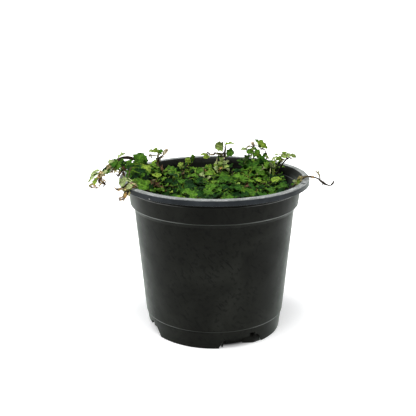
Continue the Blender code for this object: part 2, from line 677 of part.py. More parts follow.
def grow_clump(number, root, roots, placed, rng):
    """One plantlet: its root, and runners that keep clear of every stem that is already there."""
    plant = Plant(f"creeping_clump_{number}", root)
    plant.add_stem(rooted(*root), ROOT_RADIUS, ROOT_RADIUS, STEM_SIDES)
    others = [other for other in roots if other != root]
    start = rng.uniform(0, math.tau)
    for count in range(RUNNERS_PER_CLUMP):
        for _ in range(RUNNER_TRIES):
            heading = start + math.tau * count / RUNNERS_PER_CLUMP
            heading += rng.uniform(-RUNNER_SPREAD, RUNNER_SPREAD)
            points = runner_points(root, heading, others, rng)
            if len(points) < 3:
                continue
            fat = tapered(points, RUNNER_RADIUS + NODE_CLEARANCE, RUNNER_TIP_RADIUS + NODE_CLEARANCE)
            if free_of(Solid(tube(points, fat, RUNNER_SIDES), plant.name, True), placed):
                plant.add_stem(points, RUNNER_RADIUS, RUNNER_TIP_RADIUS, RUNNER_SIDES)
                break
    return plant


def mat_targets(rng):
    """Places for the mat's leaves: a jittered triangular grid over the mat, in a mixed order."""
    targets = []
    row_height = MAT_SPACING * math.sqrt(3) / 2
    rows = math.ceil(MAT_RADIUS / row_height)
    for row in range(-rows, rows + 1):
        for column in range(-rows - 1, rows + 2):
            x = (column + 0.5 * (row % 2)) * MAT_SPACING + rng.uniform(-MAT_JITTER, MAT_JITTER)
            y = row * row_height + rng.uniform(-MAT_JITTER, MAT_JITTER)
            if in_mat(x, y):
                targets.append((x, y))
    rng.shuffle(targets)
    return targets


def leaf_draw(centre, spot, size, rng):
    """One random leaf about centre, roughly pointing away from the spot that it grows from."""
    length = rng.uniform(*MAT_LEAF_LENGTH) * size
    heading = math.atan2(centre.y - spot.y, centre.x - spot.x)
    heading += rng.uniform(-MAT_LEAF_HEADING, MAT_LEAF_HEADING)
    pitch = rng.uniform(*MAT_LEAF_PITCH)
    level = math.cos(pitch)
    along = Vector((math.cos(heading) * level, math.sin(heading) * level, math.sin(pitch)))
    face = Vector((rng.uniform(-0.4, 0.4), rng.uniform(-0.55, 0.25), 1))
    width = length * rng.uniform(*MAT_LEAF_WIDTH)
    return centre - along * length / 2, centre + along * length / 2, width, face


def place_leaf(x, y, plants, placed, rng):
    """Tries leaves about x, y until one clears everything, and adds it to a plantlet with a near runner.

    Later tries stray further from x, y and are smaller.
    """
    ground = Vector((x, y, soil_height(x, y) + RUNNER_HEIGHT))
    near = sorted(plants, key=lambda plant: (plant.nearest_spot(ground) - ground).length)[:3]
    for attempt in range(LEAF_TRIES):
        plant = near[attempt % len(near)]
        share = attempt / LEAF_TRIES
        stray = LARGEST_STRAY * share
        centre = Vector((x + rng.uniform(-stray, stray), y + rng.uniform(-stray, stray), 0))
        centre.z = mat_height(centre.x, centre.y) + rng.uniform(-MAT_LEAF_DEPTH - stray / 2, MAT_LEAF_RISE)
        size = 1 - (1 - SMALLEST_SHARE) * share
        heel, tip, width, face = leaf_draw(centre, plant.nearest_spot(ground), size, rng)
        root = plant.nearest_spot(heel)
        if not SHORTEST_PETIOLE < (heel - root).length < LONGEST_PETIOLE:
            continue
        shape = (root, heel, tip, width, face)
        leaf = Solid(leaf_solid(*shape), plant.name, False)
        wide = Solid(leaf_solid(*shape, NODE_CLEARANCE), plant.name, False)
        near_fit = Solid(leaf_solid(*shape, LEAF_CLEARANCE), plant.name, False)
        blade = Solid(leaf_solid(*shape, LEAF_CLEARANCE, petiole=False), plant.name, False)
        if not free_of(wide, [solid for solid in placed if solid.owner != plant.name]):
            continue
        if not free_of(near_fit, [solid for solid in plant.solids if not solid.is_stem]):
            continue
        if not free_of(blade, [solid for solid in plant.solids if solid.is_stem]):
            continue
        plant.solids.append(leaf)
        placed.append(leaf)
        return


def main():
    for obj in list(bpy.data.objects):
        bpy.data.objects.remove(obj)
    rng = random.Random(SEED)
    build_pot()
    standing = [trailing_stem_upper(), trailing_stem_lower(), upright_sprig_1(), upright_sprig_2()]
    standing += [upright_sprig_3(), upright_sprig_4(), bare_twig()]
    for plant in standing:
        for heel, tip, width, face in plant.leaves:
            plant.add_leaf(Vector(heel), Vector(tip), width, Vector(face))
    roots = clump_roots()
    build_soil([plant.root for plant in standing] + roots)

    placed = [Solid(turned(pot_outside() + pot_inside(), POT_SIDES), "nursery_pot", True)]
    placed += [solid for plant in standing for solid in plant.solids]
    clumps = []
    for number, root in enumerate(roots, start=1):
        clump = grow_clump(number, root, roots, placed, rng)
        placed += clump.solids
        clumps.append(clump)
    for x, y in mat_targets(rng):
        place_leaf(x, y, clumps, placed, rng)

    green = plain_material("leaf_green", (0.05, 0.16, 0.03), 0.5)
    for plant in standing + clumps:
        plant.build(green)


main()
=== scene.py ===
"""The look of a potted oakleaf creeping fig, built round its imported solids.

Lengths are in millimetres until new_mesh writes them in metres. Materials, lights and the camera are in
metres. +Z is up and -Y is the front.
"""

import math
import random

import bpy
import numpy as np
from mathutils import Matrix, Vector, noise
from mathutils.bvhtree import BVHTree


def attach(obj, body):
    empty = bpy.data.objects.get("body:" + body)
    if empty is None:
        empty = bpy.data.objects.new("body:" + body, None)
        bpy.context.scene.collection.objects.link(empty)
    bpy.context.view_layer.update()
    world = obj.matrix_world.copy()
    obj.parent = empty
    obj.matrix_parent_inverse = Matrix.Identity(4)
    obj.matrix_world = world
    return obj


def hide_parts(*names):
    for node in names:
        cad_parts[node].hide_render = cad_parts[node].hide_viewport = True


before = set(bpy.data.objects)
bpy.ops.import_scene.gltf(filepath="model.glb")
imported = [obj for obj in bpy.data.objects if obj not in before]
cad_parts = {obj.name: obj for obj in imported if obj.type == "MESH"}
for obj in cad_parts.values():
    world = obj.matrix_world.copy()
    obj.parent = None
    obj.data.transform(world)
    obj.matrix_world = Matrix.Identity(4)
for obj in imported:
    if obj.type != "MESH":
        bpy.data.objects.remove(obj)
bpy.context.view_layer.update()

METRES = 0.001
UP = Vector((0, 0, 1))

# Pot
RIM_RADIUS = 77.5
POT_HEIGHT = 128.7
WALL = 1.5
FLANGE_WIDTH = 5.1
SKIRT_HEIGHT = 4.5
RIM_CHAMFER = 0.8
BAND_TOP_RADIUS = 70.8
BAND_LOW_RADIUS = 68.9
BAND_TOP = 124.2
BAND_LOW = 107.6
BODY_TOP_RADIUS = 65.8
BODY_TOP = 103.8
SHOULDER_OUT = 1.2
SHOULDER_RISE = 2.6
SHOULDER_THICKENING = 0.3
BODY_LOW_RADIUS = 57.9
FOOT_HEIGHT = 15.0
FOOT_STEP = 0.6
FOOT_TOP_RADIUS = 57.2
FOOT_RADIUS = 55.2
BASE_PLATE = 8.6
BASE_RING_RADIUS = 49.8
BASE_RING_LOW = 1.2
FLOOR_CORNER = 1.0
BEAD_HEIGHT = 120.9
BEAD_SIZE = 0.45
CORNER_ROUNDING = 0.5
CORNER_STEPS = 4
POT_SIDES = 36
FINE_SIDES = 240

# Drain notches
NOTCH_CENTRES = (24, 107, 204, 287)
NOTCH_HALF_FLOOR = 21
NOTCH_HALF_TOP = 16
NOTCH_HEIGHT = 7.8
NOTCH_DEPTH = 5.0
NOTCH_STEPS = 12
DRAIN_ANGLE = 9
DRAIN_WIDTH = 5.0
DRAIN_REACH = (-5.0, 4.0)
DRAIN_LOW = 5.8
DRAIN_TOP = 10.8

# Soil
SOIL_LEVEL = 110.0
SOIL_GAP = 0.4
SOIL_WAVE = 1.0
SOIL_SIDES = 128
SOIL_RINGS = 44
SOIL_GRAIN = 1.1
SOIL_EDGE = BAND_LOW_RADIUS - WALL - SOIL_GAP

# Crumbs on the soil: how far they lie from the edge and stand out, length, width and height, and profile
CRUMB_COUNT = 520
CRUMB_MARGIN = 2
CRUMB_RISE = (0.1, 0.9)
CRUMB_SIZES = ((0.8, 2.6), (0.6, 1.5), (0.4, 1.0))
CRUMB_SWELL = (0.75, 1.2)
CRUMB_SIDES = 7
CRUMB_PROFILE = ((0, -1), (0.75, -0.6), (1, 0.1), (0.6, 0.75), (0, 1))

# The plants' rule, which gives every stem and leaf the place of its solid
ROOT_DEPTH = 6.0
ROOT_RADIUS = 1.1
LEAF_THICKNESS = 0.65
LEAF_FOLD = 0.3
LEAF_ARCH = 0.35
PETIOLE_WIDTH = 0.9
SHORTEST_PETIOLE = 1.5
LONGEST_PETIOLE = 18.0
STEM_SIDES = 4
STEM_START = 2.5
SPOT_SPACING = 1.5
SPOT_HEIGHT = 1.0
RUNNER_SIDES = 4
NODE_CLEARANCE = 0.35
LEAF_CLEARANCE = 0.12
SEED = 11
HALF_LEAF = ((0.0, 0.06), (0.16, 0.42), (0.36, 0.2), (0.66, 0.5), (0.78, 0.18))
MAT_RADIUS = 64.0
MAT_RIGHT_EDGE = 57.0
MAT_LEVEL = 119.5
MAT_WAVE = 1.2
MAT_SPACING = 9.7
MAT_JITTER = 1.4
CLUMP_CENTRE = (-3.0, 0.0)
CLUMP_RING = 40.0
CLUMP_TURN = 20
RUNNERS_PER_CLUMP = 5
RUNNER_LENGTH = 23.0
RUNNER_STEPS = 4
RUNNER_RADIUS = 0.95
RUNNER_TIP_RADIUS = 0.6
RUNNER_TRIES = 12
RUNNER_HEIGHT = 2.6
RUNNER_TURN = 0.25
RUNNER_SPREAD = 0.3
RUNNER_KEEP_OFF = 2.5
RUNNER_LIFT_SHARE = 0.8
MAT_LEAF_LENGTH = (11.5, 14.5)
MAT_LEAF_WIDTH = (0.9, 1.05)
MAT_LEAF_HEADING = 1.1
MAT_LEAF_PITCH = (-0.35, 0.3)
MAT_LEAF_DEPTH = 4.0
MAT_LEAF_RISE = 3.0
SMALLEST_SHARE = 0.65
LARGEST_STRAY = 4.0
LEAF_TRIES = 90
MOUNDS = ((44, 42, 20, 9.0), (-56, 8, 26, 10.0), (-50, -34, 16, 6.0))

# Fine leaves and stems
LEAF_ROWS = 15
LEAF_COLUMNS = 5
BLADE_THICKNESS = 0.38
EDGE_THICKNESS = 0.2
NARROWEST_HALF = 0.012
OUTLINE_SHARES = (6, 3, 1)
LEAF_SPREAD = (0.95, 1.05)
LEAF_SKEW = 0.08
LEAF_TWIST = 0.25
LOBE_FORWARD = 0.35
PUCKERS = 2.6
PUCKER_DEPTH = 0.045
FRESH_BEND = 0.1
DRIED_BEND = 0.2
DRIED_WAVE = 0.12
DRIED_CURL = 0.45
FINE_PETIOLE_RADII = (0.36, 0.24)
FINE_PETIOLE_SIDES = 4
PETIOLE_TONE = (0.44, 0.62)
FINE_STEM_SHARE = 0.72
TWIG_SHARE = 0.95
FINE_STEM_STEP = 2.2
FINE_STEM_SIDES = 7
FINE_STEM_KINK = 0.16
STEM_SWELLING = 1.18
STEM_WAIST = 0.94
STEM_TIP_SHARE = 0.6
MAT_LEAF_SHARE = 0.74

# Shoots and small leaves between the mat's larger ones
SMALL_LEAF_WIDTH = (0.8, 1.0)
SHOOTS = 110
SHOOT_LENGTH = (13.0, 24.0)
SHOOT_LIFT = (0.15, 0.9)
SHOOT_STEEPNESS = 1.6
SHOOT_TURN = 0.5
SHOOT_RADII = (0.5, 0.32)
SHOOT_PETIOLE = (1.6, 3.4)
SHOOT_LEAF_STEP = 4.2
SHOOT_LEAF_LENGTH = (6.0, 9.5)
SHOOT_TRIES = 6
FILL_LEAVES = 800
FILL_LEAF_LENGTH = (5.0, 9.0)
FILL_RISE = (-7.0, 2.5)
FILL_TRIES = 26

# Behind this edge, left of the sprigs, the mat stays under a ceiling, so that the pot's far wall shows
BACK_EDGE = 40.0
BACK_EDGE_RIGHT = 22.0
BACK_CEILING = 121.5

# The front notch's ends: a web at the right one, from one angle to another, and torn flash at the left one
WEB_START = 27
WEB_END = 44
WEB_STEPS = 8
WEB_INNER = 49.0
WEB_OUTER = (50.2, 54.2)
WEB_LOW = 0.2
WEB_TOP = 8.0
FLASH_RADIUS = 54.9
FLASH_THICKNESS = 0.9
FLASH_OUTLINE = ((4.6, 5.4), (5.6, 2.6), (6.1, 0.9), (7.0, 1.2), (7.4, 3.0), (8.8, 6.4))

# Marks on the plastic: pale lines along the moulding edges, partly wear and partly painted highlight, as height
# and reach, and two spots as place and reach
WORN_AND_LIT_LINES = ((BAND_LOW - 0.3, 0.9), (BEAD_HEIGHT, 0.6), (FOOT_HEIGHT + FOOT_STEP, 0.8))
RIM_CHIP = ((69.8, -26.5, 128.7), 2.6)
SKIRT_SPECK = ((-48.5, -60.5, 125.2), 0.7)

# Colours along a leaf's tone, which runs from dry brown through cream and lime to deep green
LEAF_TONES = (
    (0.0, (0.06, 0.034, 0.016)),
    (0.06, (0.17, 0.105, 0.05)),
    (0.12, (0.58, 0.4, 0.13)),
    (0.155, (0.5, 0.41, 0.24)),
    (0.19, (0.6, 0.55, 0.38)),
    (0.24, (0.36, 0.34, 0.13)),
    (0.32, (0.27, 0.36, 0.14)),
    (0.42, (0.17, 0.265, 0.03)),
    (0.55, (0.066, 0.162, 0.013)),
    (0.70, (0.025, 0.085, 0.007)),
    (0.88, (0.007, 0.033, 0.005)),
    (1.0, (0.002, 0.008, 0.002)),
)
VEIN_TINT = (2.3, 1.8, 2.4, 1)
UNDERSIDE = (0.16, 0.21, 0.1, 1)

# Colours of bark, soil and plastic from their darkest patches to their palest
BARK_TONES = (
    (0.2, (0.010, 0.007, 0.004)),
    (0.45, (0.024, 0.016, 0.008)),
    (0.62, (0.06, 0.042, 0.018)),
    (0.8, (0.12, 0.11, 0.04)),
)
SOIL_TONES = (
    (0.3, (0.004, 0.003, 0.002)),
    (0.5, (0.011, 0.008, 0.005)),
    (0.66, (0.03, 0.02, 0.012)),
    (0.8, (0.12, 0.085, 0.05)),
)
PLASTIC_TONES = (
    (0.3, (0.004, 0.0043, 0.0032)),
    (0.5, (0.0085, 0.0092, 0.0072)),
    (0.72, (0.016, 0.0172, 0.014)),
)
SKIRT_TONES = ((0.3, (0.014, 0.017, 0.02)), (0.7, (0.03, 0.035, 0.04)))
# The flange top's tones, far paler than the plastic: painted reflection of the bright surround, streaked by
# scuffs
FLANGE_TOP_REFLECTION_TONES = ((0.34, (0.1, 0.108, 0.106)), (0.5, (0.24, 0.25, 0.245)), (0.66, (0.46, 0.47, 0.46)))
SMUDGE = (0.0015, 0.0015, 0.0015, 1)
# Pale colour of the moulding lines: partly wear, partly painted highlight
WORN_AND_HIGHLIGHT = (0.16, 0.165, 0.16, 1)
CHIPPED = (0.03, 0.032, 0.034, 1)
SPECK = (0.3, 0.3, 0.29, 1)
DUST_TINT = (0.84, 0.96, 0.86, 1)

# What a kind of leaf looks like: range of tone, how far it bends over its length, how far its edges fold up
KINDS = {
    "dark": ((0.95, 1.0), 0.10, 0.30),
    "deep": ((0.84, 0.94), 0.10, 0.30),
    "mid": ((0.63, 0.77), 0.10, 0.30),
    "green": ((0.59, 0.64), 0.10, 0.28),
    "fresh": ((0.51, 0.58), 0.10, 0.28),
    "lime": ((0.39, 0.47), 0.12, 0.34),
    "bright": ((0.35, 0.385), 0.12, 0.34),
    "pale": ((0.30, 0.33), 0.12, 0.36),
    "olive": ((0.22, 0.26), 0.22, 0.30),
    "cream": ((0.18, 0.20), 0.12, 0.40),
    "tan": ((0.14, 0.17), 0.24, 0.40),
    "gold": ((0.10, 0.13), 0.26, 0.45),
    "brown": ((0.0, 0.06), 0.30, 0.60),
}

# Kinds in the mat: as painted shade, most leaves below the first depth are deep, and below the second dark.
# Then come yellow patches as x, y and reach, a few small brown leaves, and shares of the kinds at the back and at
# the front.
PAINTED_SHADE_FROM = 2.6
PAINTED_DARK_SHADE_FROM = 3.8
PAINTED_SHADE_SHARE = 0.9
YELLOW_PATCHES = ((-4, 38, 20), (-24, 46, 12), (27, 34, 10), (46, 30, 10), (-34, 18, 10), (-48, -4, 10))
YELLOW_SHARE = 0.75
BROWN_FROM = 0.985
BACK_FROM = 5
MAT_KINDS = ("deep", "mid", "green", "fresh", "lime")
BACK_SHARES = (2, 5, 4, 5, 2.2)
FRONT_SHARES = (5, 6, 4, 2.2, 0.2)

# Short leafy side shoots at places of their own: plant, start, end, leaves, shortest and longest leaf, and
# the kinds that its leaves are drawn from
GREENS = ("deep", "mid", "mid", "fresh")
SHADED = ("dark", "deep", "mid")
BRIGHTS = ("mid", "fresh", "fresh", "lime")
YELLOWS = ("lime", "lime", "pale", "fresh")
OLIVES = ("pale", "lime", "mid", "gold")
DEAD = ("brown",)
SPRAYS = (
    ("creeping_clump_5", (-52, -2, 121), (-60, -8, 127), 7, (6, 8), SHADED),
    ("creeping_clump_5", (-48, -12, 121), (-60, -20, 127), 7, (6, 9), SHADED),
    ("creeping_clump_4", (-50, 16, 123), (-59, 15, 131), 8, (6, 8.5), GREENS),
    ("creeping_clump_4", (-46, 22, 121), (-52, 25, 125), 7, (5, 7), BRIGHTS),
    ("creeping_clump_4", (-29, 44, 120), (-19, 53, 127.5), 9, (4.5, 6.5), BRIGHTS),
    ("creeping_clump_4", (-30, 38, 119), (-36, 44, 119.5), 7, (4, 5.5), GREENS),
    ("creeping_clump_3", (8, 44, 120), (-4, 50, 121.5), 9, (4, 5.5), YELLOWS),
    ("creeping_clump_3", (2, 40, 120), (11, 50, 124), 9, (3.5, 5), OLIVES),
    ("creeping_clump_3", (-6, 40, 119), (-10, 46, 119.5), 8, (4, 5), OLIVES),
    ("creeping_clump_3", (28, 42, 122), (27, 52, 128), 9, (5, 7.5), GREENS),
    ("creeping_clump_2", (42, 32, 122), (42, 46, 127.5), 10, (4.5, 7), GREENS),
    ("creeping_clump_2", (50, 28, 123), (54, 36, 129.5), 9, (5, 7.5), BRIGHTS),
    ("creeping_clump_2", (40, 38, 122), (36, 50, 127), 9, (4.5, 6.5), GREENS),
    ("creeping_clump_5", (-42, -26, 119), (-49, -33, 125.5), 10, (5, 7), DEAD),
    ("creeping_clump_5", (-40, -30, 119), (-45, -36, 124.5), 6, (4.5, 6), DEAD),
)
SPRAY_ARCH = 0.08
SPRAY_RADII = (0.55, 0.35)
SPRAY_PETIOLE = (1.2, 2.6)
SPRAY_TURN = 2.4
SPRAY_SLOPES = (-0.55, 1.1)
SPRAY_GAP = 0.2
SPRAY_TRIES = 8

# Surround, lights as name, place, size and energy, and camera
FLOOR_REACH = 40000
FLOOR_COLOUR = (0.86, 0.86, 0.86, 1)
SURROUND_COLOUR = (1.06, 1.08, 1.1, 1)
LIGHT_TARGET = Vector((0, 0, 0.1))
LIGHTS = (
    ("key", (-0.03, -0.28, 1.2), 0.5, 14.0),
    ("right_fill", (0.9, 0.3, 0.9), 0.7, 1.2),
    ("left_fill", (-0.9, 0.2, 0.9), 0.7, 4.2),
)
CAMERA_PLACE = (0.0, -0.6125, 0.27786)
CAMERA_DIP = 0.2813
CAMERA_LENS = 66.554
CAMERA_SENSOR = 36.0
CAMERA_SHIFT = -0.015236

# Half outlines as (share of the length, share of the width)
OUTLINES = (
    ((0, 0.05), (0.08, 0.25), (0.19, 0.43), (0.34, 0.25), (0.5, 0.4), (0.63, 0.5), (0.77, 0.26), (0.88, 0.23),
     (0.96, 0.13), (1, 0.015)),
    ((0, 0.06), (0.1, 0.34), (0.24, 0.48), (0.37, 0.38), (0.55, 0.5), (0.69, 0.36), (0.84, 0.3), (0.95, 0.15),
     (1, 0.015)),
    ((0, 0.05), (0.14, 0.3), (0.28, 0.34), (0.42, 0.3), (0.6, 0.42), (0.74, 0.28), (0.88, 0.2), (0.96, 0.1),
     (1, 0.015)),
)

# Solids of the plants that stand out of the mat: root, radii of the main stem at its root and tip, its
# points above the soil, the side stems with their radii, and the leaves as heel, tip, width and the way that
# the upper face looks
STANDING = {
    "trailing_stem_upper": {
        "root": (-52, 6),
        "radii": (ROOT_RADIUS, 0.6),
        "main": ((-54, 7, 121), (-59, 8, 134), (-65.7, 8, 141), (-70.9, 6, 142.7), (-75.5, 3, 143),
                 (-78.5, 0, 141.6), (-82.1, -4, 139.6), (-85.7, -8, 137.2), (-88.1, -12, 134.4),
                 (-91.2, -16, 132.1), (-93.9, -20, 129), (-95.4, -22, 126.2)),
        "sides": (
            (((-63, 8, 138.3), (-67, 0, 137.5), (-71.8, -4, 136), (-75.5, -6.5, 133.4), (-79, -8, 129.8)),
             0.7, 0.55),
            (((-67, 0, 137.5), (-67.6, -11, 136.2), (-68, -19, 133.4), (-68.7, -22, 132)), 0.65, 0.5),
            (((-91.2, -16, 132.1), (-91.4, -19, 127.6), (-88.5, -19.5, 126.5), (-86, -18, 128.3)), 0.55, 0.45),
        ),
        "leaves": (
            ((-60, 2.5, 136.5), (-61.5, 7.5, 146), 11.5, (0, -0.85, 0.5)),
            ((-78.5, 2.2, 144.4), (-72.4, 4, 146.8), 5, (-0.46, -0.1, 0.85)),
            ((-81.6, -5.5, 141.2), (-87, -7.5, 141.4), 6.5, (-0.2, -0.6, 0.75)),
            ((-75.6, -5.6, 141.4), (-78.4, -9, 135.2), 7.5, (0, -0.9, 0.4)),
            ((-66, -2.5, 141), (-73.6, -3.5, 139.6), 8.5, (0, -0.7, 0.7)),
            ((-82.5, -9, 138), (-85.6, -12.5, 133.9), 5.5, (-0.3, -0.8, 0.5)),
            ((-88.5, -14.5, 133.2), (-93.2, -19, 131), 5, (-0.2, -0.8, 0.5)),
            ((-92, -15, 136.4), (-97.8, -19.5, 132.8), 4.5, (-0.5, -0.2, 0.8)),
            ((-93, -18.5, 133.8), (-99.5, -24.5, 128.4), 5, (-0.6, -0.3, 0.7)),
            ((-93.5, -21, 129.4), (-94.6, -24, 124.4), 4.5, (0, -0.9, 0.3)),
            ((-96.3, -22.4, 125.2), (-99.3, -26, 122.8), 4, (0, -0.6, 0.8)),
            ((-76.5, -7.6, 131.4), (-79.5, -11, 127.4), 3, (-0.6, -0.3, 0.6)),
            ((-67.5, -13.5, 137.2), (-64.4, -20.6, 134.4), 7.5, (-0.2, -0.6, 0.8)),
            ((-69, -23.2, 133), (-76.2, -27.5, 130.9), 7.5, (-0.2, -0.5, 0.85)),
            ((-71.5, -5.5, 137.6), (-75.4, -12.5, 135.4), 7, (-0.3, -0.5, 0.8)),
            ((-76.4, 4.4, 141.8), (-82, 6.4, 140), 7, (-0.3, 0, 0.95)),
        ),
    },
    "trailing_stem_lower": {
        "root": (-50, -24),
        "radii": (ROOT_RADIUS, 0.5),
        "main": ((-52, -25, 120), (-57, -29, 127.5), (-61, -32.5, 131.1), (-64.2, -35, 131.5),
                 (-66.8, -38, 131.2), (-69.5, -40.5, 129.2), (-72.5, -42, 128), (-75, -42.5, 128.7)),
        "sides": (
            (((-68.8, -39.9, 129.8), (-68.4, -44, 127.3), (-69.5, -46.2, 124), (-71, -47.2, 122.2)), 0.6, 0.45),
            (((-57, -29, 127.5), (-53, -35, 126), (-47, -41, 125.4)), 0.65, 0.5),
        ),
        "leaves": (
            ((-63.4, -35.4, 133.2), (-68.4, -37, 133.6), 6, (0, -0.6, 0.8)),
            ((-70.5, -41.5, 130.8), (-74, -45.5, 129.2), 4.5, (-0.2, -0.6, 0.8)),
            ((-74.4, -43.4, 129.6), (-78, -44.5, 129.8), 3.5, (0, -0.4, 0.9)),
            ((-68, -45, 126.6), (-65.2, -47.4, 124.6), 4.5, (0.3, -0.6, 0.7)),
            ((-68.6, -47.6, 123.4), (-66.4, -49.6, 121.4), 4, (0.2, -0.8, 0.5)),
            ((-71.6, -48, 121.6), (-73.6, -48.8, 119), 4.5, (-0.4, -0.8, 0.2)),
            ((-60, -34.6, 132), (-49.4, -40.2, 130.2), 10.5, (0.1, -0.5, 0.85)),
            ((-47, -42, 126), (-40.6, -46.4, 127), 6.5, (0, -0.5, 0.85)),
            ((-50, -38.6, 127.2), (-53.6, -44.6, 130.4), 7, (-0.1, -0.4, 0.9)),
            ((-57, -27, 129.6), (-54.4, -19.4, 130.6), 8, (-0.1, -0.2, 0.95)),
        ),
    },
    "upright_sprig_1": {
        "root": (-45, 32),
        "radii": (ROOT_RADIUS, 0.6),
        "main": ((-46, 33, 119), (-49.6, 35.5, 127.8), (-48.1, 36, 134.9), (-48.6, 36, 137.8),
                 (-47.8, 36, 141.6)),
        "sides": (
            (((-48.1, 36, 134.9), (-45.2, 34.6, 137.4), (-41.2, 34, 140)), 0.65, 0.5),
        ),
        "leaves": (
            ((-47, 35.2, 141.8), (-43.4, 29.6, 141), 6.5, (0.1, -0.2, 1)),
            ((-49.4, 36.6, 142), (-57, 35, 141.2), 6.5, (-0.1, -0.35, 1)),
            ((-47.4, 38.4, 139.4), (-46.6, 44.2, 140.6), 6, (0, -0.2, 1)),
            ((-51.6, 35, 135.4), (-56.4, 34, 138.4), 4.5, (0.3, -0.7, 0.6)),
            ((-50.4, 33.6, 131.6), (-54.4, 29.4, 129.6), 5, (-0.5, -0.3, 0.8)),
            ((-41.2, 33.6, 143.6), (-43, 32.4, 146), 3.5, (-0.5, -0.6, 0.5)),
        ),
    },
    "upright_sprig_2": {
        "root": (6, 49),
        "radii": (ROOT_RADIUS, 0.55),
        "main": ((6.5, 50, 118), (9, 54.5, 128.4), (9, 56, 132.7), (9.7, 56, 140.4), (10, 56, 142.2)),
        "sides": (
            (((9, 55.5, 131), (5.4, 56, 133.6), (0.6, 56, 134.6), (-2.6, 56, 134.3)), 0.6, 0.45),
        ),
        "leaves": (
            ((8.2, 54.8, 140.4), (0.2, 53, 143.2), 8.5, (0, -0.9, 0.45)),
            ((11.2, 56, 143.2), (17.6, 56, 143.6), 6, (0, 0.28, 0.96)),
            ((10.8, 54.6, 136), (18, 53.6, 137), 9, (0, -0.85, 0.5)),
            ((-4.3, 56, 134.6), (-12.8, 54, 133.8), 7, (0, -0.5, 0.85)),
            ((3.6, 56, 135.6), (2.2, 55.4, 139.4), 3, (-0.6, -0.7, 0.3)),
            ((8, 52.6, 125.6), (1.4, 49.4, 125.2), 7, (-0.1, -0.5, 0.85)),
            ((10.2, 52.6, 127.4), (16.4, 49, 127), 7, (0.1, -0.5, 0.85)),
        ),
    },
    "upright_sprig_3": {
        "root": (31, 45),
        "radii": (ROOT_RADIUS, 0.55),
        "main": ((31.6, 46, 118), (34.6, 52.6, 127), (34.6, 54, 134), (34.1, 54, 138.6), (35, 54, 142.2),
                 (34, 54, 145)),
        "sides": (
            (((34.6, 52.6, 127), (41, 52, 127.6), (46.1, 52, 131.3), (45.6, 53, 136.4), (43.8, 53, 139.6),
              (40.6, 52.4, 140.4)), 0.65, 0.5),
        ),
        "leaves": (
            ((40.2, 51.3, 141.6), (42.3, 54.6, 148.4), 12, (-0.1, -0.9, 0.42)),
            ((32.6, 54, 142.6), (24, 53, 139.4), 5.5, (-0.3, 0.2, 0.93)),
            ((33, 52.8, 136.8), (26.4, 50, 134.6), 8, (0, -0.9, 0.4)),
            ((36, 52.6, 134.4), (40.2, 49.6, 130), 8, (0, -0.9, 0.4)),
            ((45, 51.6, 134.4), (43.2, 49.4, 130.4), 3.5, (-0.2, -0.9, 0.3)),
            ((46.6, 52.2, 134.8), (50.6, 51, 131.8), 4, (0.3, -0.7, 0.6)),
            ((40, 53.6, 129), (38.6, 60.6, 129.4), 7, (0, 0.2, 0.95)),
        ),
    },
    "upright_sprig_4": {
        "root": (50, 24),
        "radii": (ROOT_RADIUS, 0.6),
        "main": ((51, 24.5, 118), (56, 26, 128.6), (58.8, 26, 133.6), (62, 25, 137.8)),
        "sides": (),
        "leaves": (
            ((58.6, 23.8, 138), (51.4, 21.4, 137), 6, (-0.1, -0.5, 0.87)),
            ((62.4, 26.4, 140.4), (54, 25.6, 141), 8.5, (0, -0.3, 0.95)),
            ((64, 25.4, 138.8), (70.2, 24.4, 138.6), 6.5, (0.2, -0.5, 0.85)),
            ((53.4, 22.6, 128.4), (48.4, 17.6, 129.8), 7, (-0.2, -0.4, 0.9)),
            ((58, 28, 131.6), (54.6, 33.4, 132.8), 6.5, (0, -0.2, 0.95)),
        ),
    },
    "bare_twig": {
        "root": (58, -15),
        "radii": (0.85, 0.5),
        "main": ((61, -15.6, 119), (64.6, -16, 125.5), (67.3, -15.2, 129.2), (70.8, -13.4, 130.6),
                 (75.5, -10, 130.2), (79.8, -8, 129.4), (84.3, -5, 126.9), (89.9, -1, 122.9), (93, 1, 120.4),
                 (95.7, 3, 119.4), (97.9, 5, 120.1), (99.4, 7, 122.2)),
        "sides": (
            (((86.2, -3.6, 125.8), (85.8, -4.4, 128.6), (84.1, -5, 131.5), (81.9, -6, 134.2)), 0.5, 0.4),
        ),
        "leaves": (
            ((63.4, -13.8, 125), (59.8, -11.6, 126.2), 4.5, (-0.3, -0.3, 0.9)),
            ((62.6, -17.8, 124.4), (59.6, -21.4, 124.8), 4.5, (-0.2, -0.4, 0.9)),
            ((67, -13.6, 130.4), (65.4, -9.2, 130.2), 4.5, (-0.2, -0.3, 0.9)),
            ((84.6, -4.4, 131.8), (85.6, -3.4, 134.6), 2.5, (0.3, -0.8, 0.3)),
        ),
    },
}

